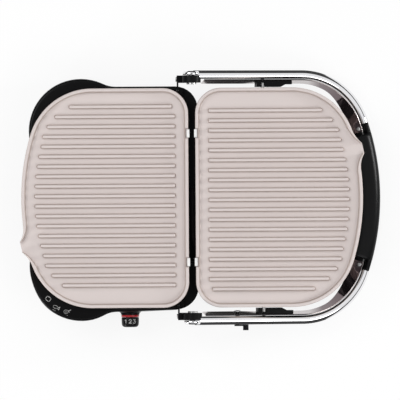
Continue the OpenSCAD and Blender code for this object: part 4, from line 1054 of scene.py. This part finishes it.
deck_z = 68.0
sign_line = 0.62
thin_line = 0.35
toast = [[(-2.6, -2.6), (2.6, -2.6), (3.1, -2.0), (3.1, 2.0), (2.6, 2.7), (-2.6, 2.7), (-3.1, 2.0),
          (-3.1, -2.0), (-2.6, -2.6)]]
fish = [ring_line(-0.8, 0.0, 3.4, 2.0), [(2.4, 0.6), (4.8, 2.1), (4.4, 0.0), (4.8, -2.1), (2.4, -0.6)]]
pan = [ring_line(-1.0, 0.0, 2.8, 2.5), ring_line(-1.0, 0.0, 1.1, 1.0, 8), [(1.4, 1.6), (5.0, 3.4)],
       [(2.4, 0.9), (3.4, 0.4)]]
sign_shapes = [
    ((-191.0, -132.5), -38, sign_line, toast),
    ((-180.6, -143.6), -24, sign_line, fish),
    ((-166.6, -149.8), -10, sign_line, pan),
    ((-195.3, -135.6), -44, thin_line, [[(-2.3, 0.0), (2.3, 0.0)]]),
    ((-182.9, -147.6), -27, thin_line, [[(-2.6, 0.0), (2.6, 0.0)]]),
    ((-168.2, -154.0), -12, thin_line, [[(-2.6, 0.0), (2.6, 0.0)]]),
]


def on_deck(sx, sy, turn):
    c = math.cos(math.radians(turn))
    s = math.sin(math.radians(turn))

    def place(u, v, rise):
        return at(sx + u * c - v * s, sy + u * s + v * c, deck_z + rise)
    return place


sign_pieces = [print_lines("sign", lines, width, on_deck(*spot, turn), print_pale)
               for spot, turn, width, lines in sign_shapes]
signs = join("cooking_signs", sign_pieces)
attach(signs, "base")


# The link between base and lid: a soft black sleeve over the wires, drawn through a rubber bush in the base,
# lying loose in the trough behind the plate and ending in the lid's rear wall.
sleeve_black = make_finish("woven_sleeve", (0.018, 0.014, 0.015), 0.62, specular=0.2, grain=700.0, bump=0.5,
                           depth=0.0003, vary=0.35, blotch=120.0, stretch=(1.0, 0.35, 1.0))
lead_route = [
    (0.5, 17, 54), (0.5, 8, 54), (0.5, -8, 53.5), (0.5, -26, 53), (0.6, -42, 52), (1.2, -52, 50.5),
    (3.2, -61, 48), (6.8, -68, 45.6), (12.5, -71.6, 44.2), (19, -72, 44), (26, -72, 44),
]
lead_r = 3.45
lead_wave = 0.02
lead_steps = 9
lead_sides = 24


def smooth_line(points, steps):
    line = [Vector(p) for p in points]
    line = [2 * line[0] - line[1], *line, 2 * line[-1] - line[-2]]
    result = []
    for a, b, c, d in zip(line, line[1:], line[2:], line[3:]):
        for i in range(steps):
            t = i / steps
            result.append(0.5 * (2 * b + (c - a) * t + (2 * a - 5 * b + 4 * c - d) * t * t
                                 + (3 * b - a - 3 * c + d) * t ** 3))
    result.append(line[-2])
    return result


def tube_rings(points, radius, n, wave):
    rings = []
    turns = [2 * math.pi * k / n for k in range(n)]
    side = Vector((0, 0, 1))
    for i, p in enumerate(points):
        ahead = (points[min(i + 1, len(points) - 1)] - points[max(i - 1, 0)]).normalized()
        side = (side - ahead * side.dot(ahead)).normalized()
        other = ahead.cross(side)
        r = radius * (1 - wave * (i % 2))
        rings.append([at(*(p + (side * math.cos(t) + other * math.sin(t)) * r)) for t in turns])
    return rings


verts, faces = skin(tube_rings(smooth_line(lead_route, lead_steps), lead_r, lead_sides, lead_wave))
lead = mesh_piece("lid_lead_sleeve", verts, faces, sleeve_black, 60)
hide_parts("lid_lead")
at(*lead_route[3])
at(*lead_route[-1])
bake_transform(lead)


# What stands on the table, what presses and what closes: rubber feet, the release buttons at the front of
# base and lid, and the rubber bushes that the cord and the lid's lead pass through.
foot_rubber = make_finish("foot_rubber", (0.012, 0.012, 0.012), 0.75, specular=0.2, grain=1500.0, bump=0.3,
                          depth=0.00008, vary=0.2, blotch=60.0)
button_black = make_finish("button_black", (0.0060, 0.0060, 0.0066), 0.36, specular=0.2, grain=1100.0,
                           bump=0.12, depth=0.00005, vary=0.15, blotch=60.0)
round_off("rubber_feet", "base", foot_rubber, 0.5)
round_off("cable_gland", "base", foot_rubber, 0.3)
round_off("lead_bush", "base", foot_rubber, 0.3)
round_off("lower_release_button", "lower_button", button_black, 0.6)
round_off("upper_release_button", "upper_button", button_black, 0.6)


# The parts that heat and switch, out of sight under the plates: tubular elements on posts above pressed
# reflectors, the thermostat on its bracket, terminals, a fuse and the insulated wires.
def dress(names, material):
    for name in names:
        mesh = frame["nodes"][name].data
        mesh.materials.clear()
        mesh.materials.append(material)


dress(["lower_heating_element", "upper_heating_element"],
      make_finish("element_sheath", (0.20, 0.19, 0.18), 0.42, metallic=1.0, grain=800.0, bump=0.15,
                  depth=0.00005, vary=0.2, blotch=50.0))
dress(["lower_reflector", "upper_reflector"],
      make_finish("reflector_sheet", (0.72, 0.72, 0.71), 0.28, metallic=1.0, grain=300.0, bump=0.08,
                  depth=0.00006, vary=0.05, blotch=30.0, stretch=(1.0, 9.0, 1.0)))
dress(["lower_element_posts", "upper_element_posts", "lower_button_spring", "upper_button_spring",
       "thermostat_bracket", "thermostat_shaft"], zinc)
dress(["thermostat_body"],
      make_finish("thermostat_body", (0.09, 0.035, 0.020), 0.50, specular=0.3, grain=900.0, bump=0.1,
                  depth=0.00005, vary=0.12, blotch=60.0))
dress(["terminal_block"],
      make_finish("terminal_block", (0.62, 0.60, 0.55), 0.50, specular=0.3, grain=900.0, bump=0.1,
                  depth=0.00005, vary=0.06, blotch=60.0))
dress(["thermal_fuse"],
      make_finish("fuse_brass", (0.58, 0.42, 0.20), 0.34, metallic=1.0, grain=700.0, bump=0.1,
                  depth=0.00005, vary=0.10, blotch=60.0))
dress(["base_wiring", "lid_wiring"],
      make_finish("wire_insulation", (0.55, 0.53, 0.50), 0.55, specular=0.3, grain=900.0, bump=0.15,
                  depth=0.00006, vary=0.08, blotch=80.0))


low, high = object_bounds()
{"cad": [list(cad_low), list(cad_high)], "visual": [list(low), list(high)]}
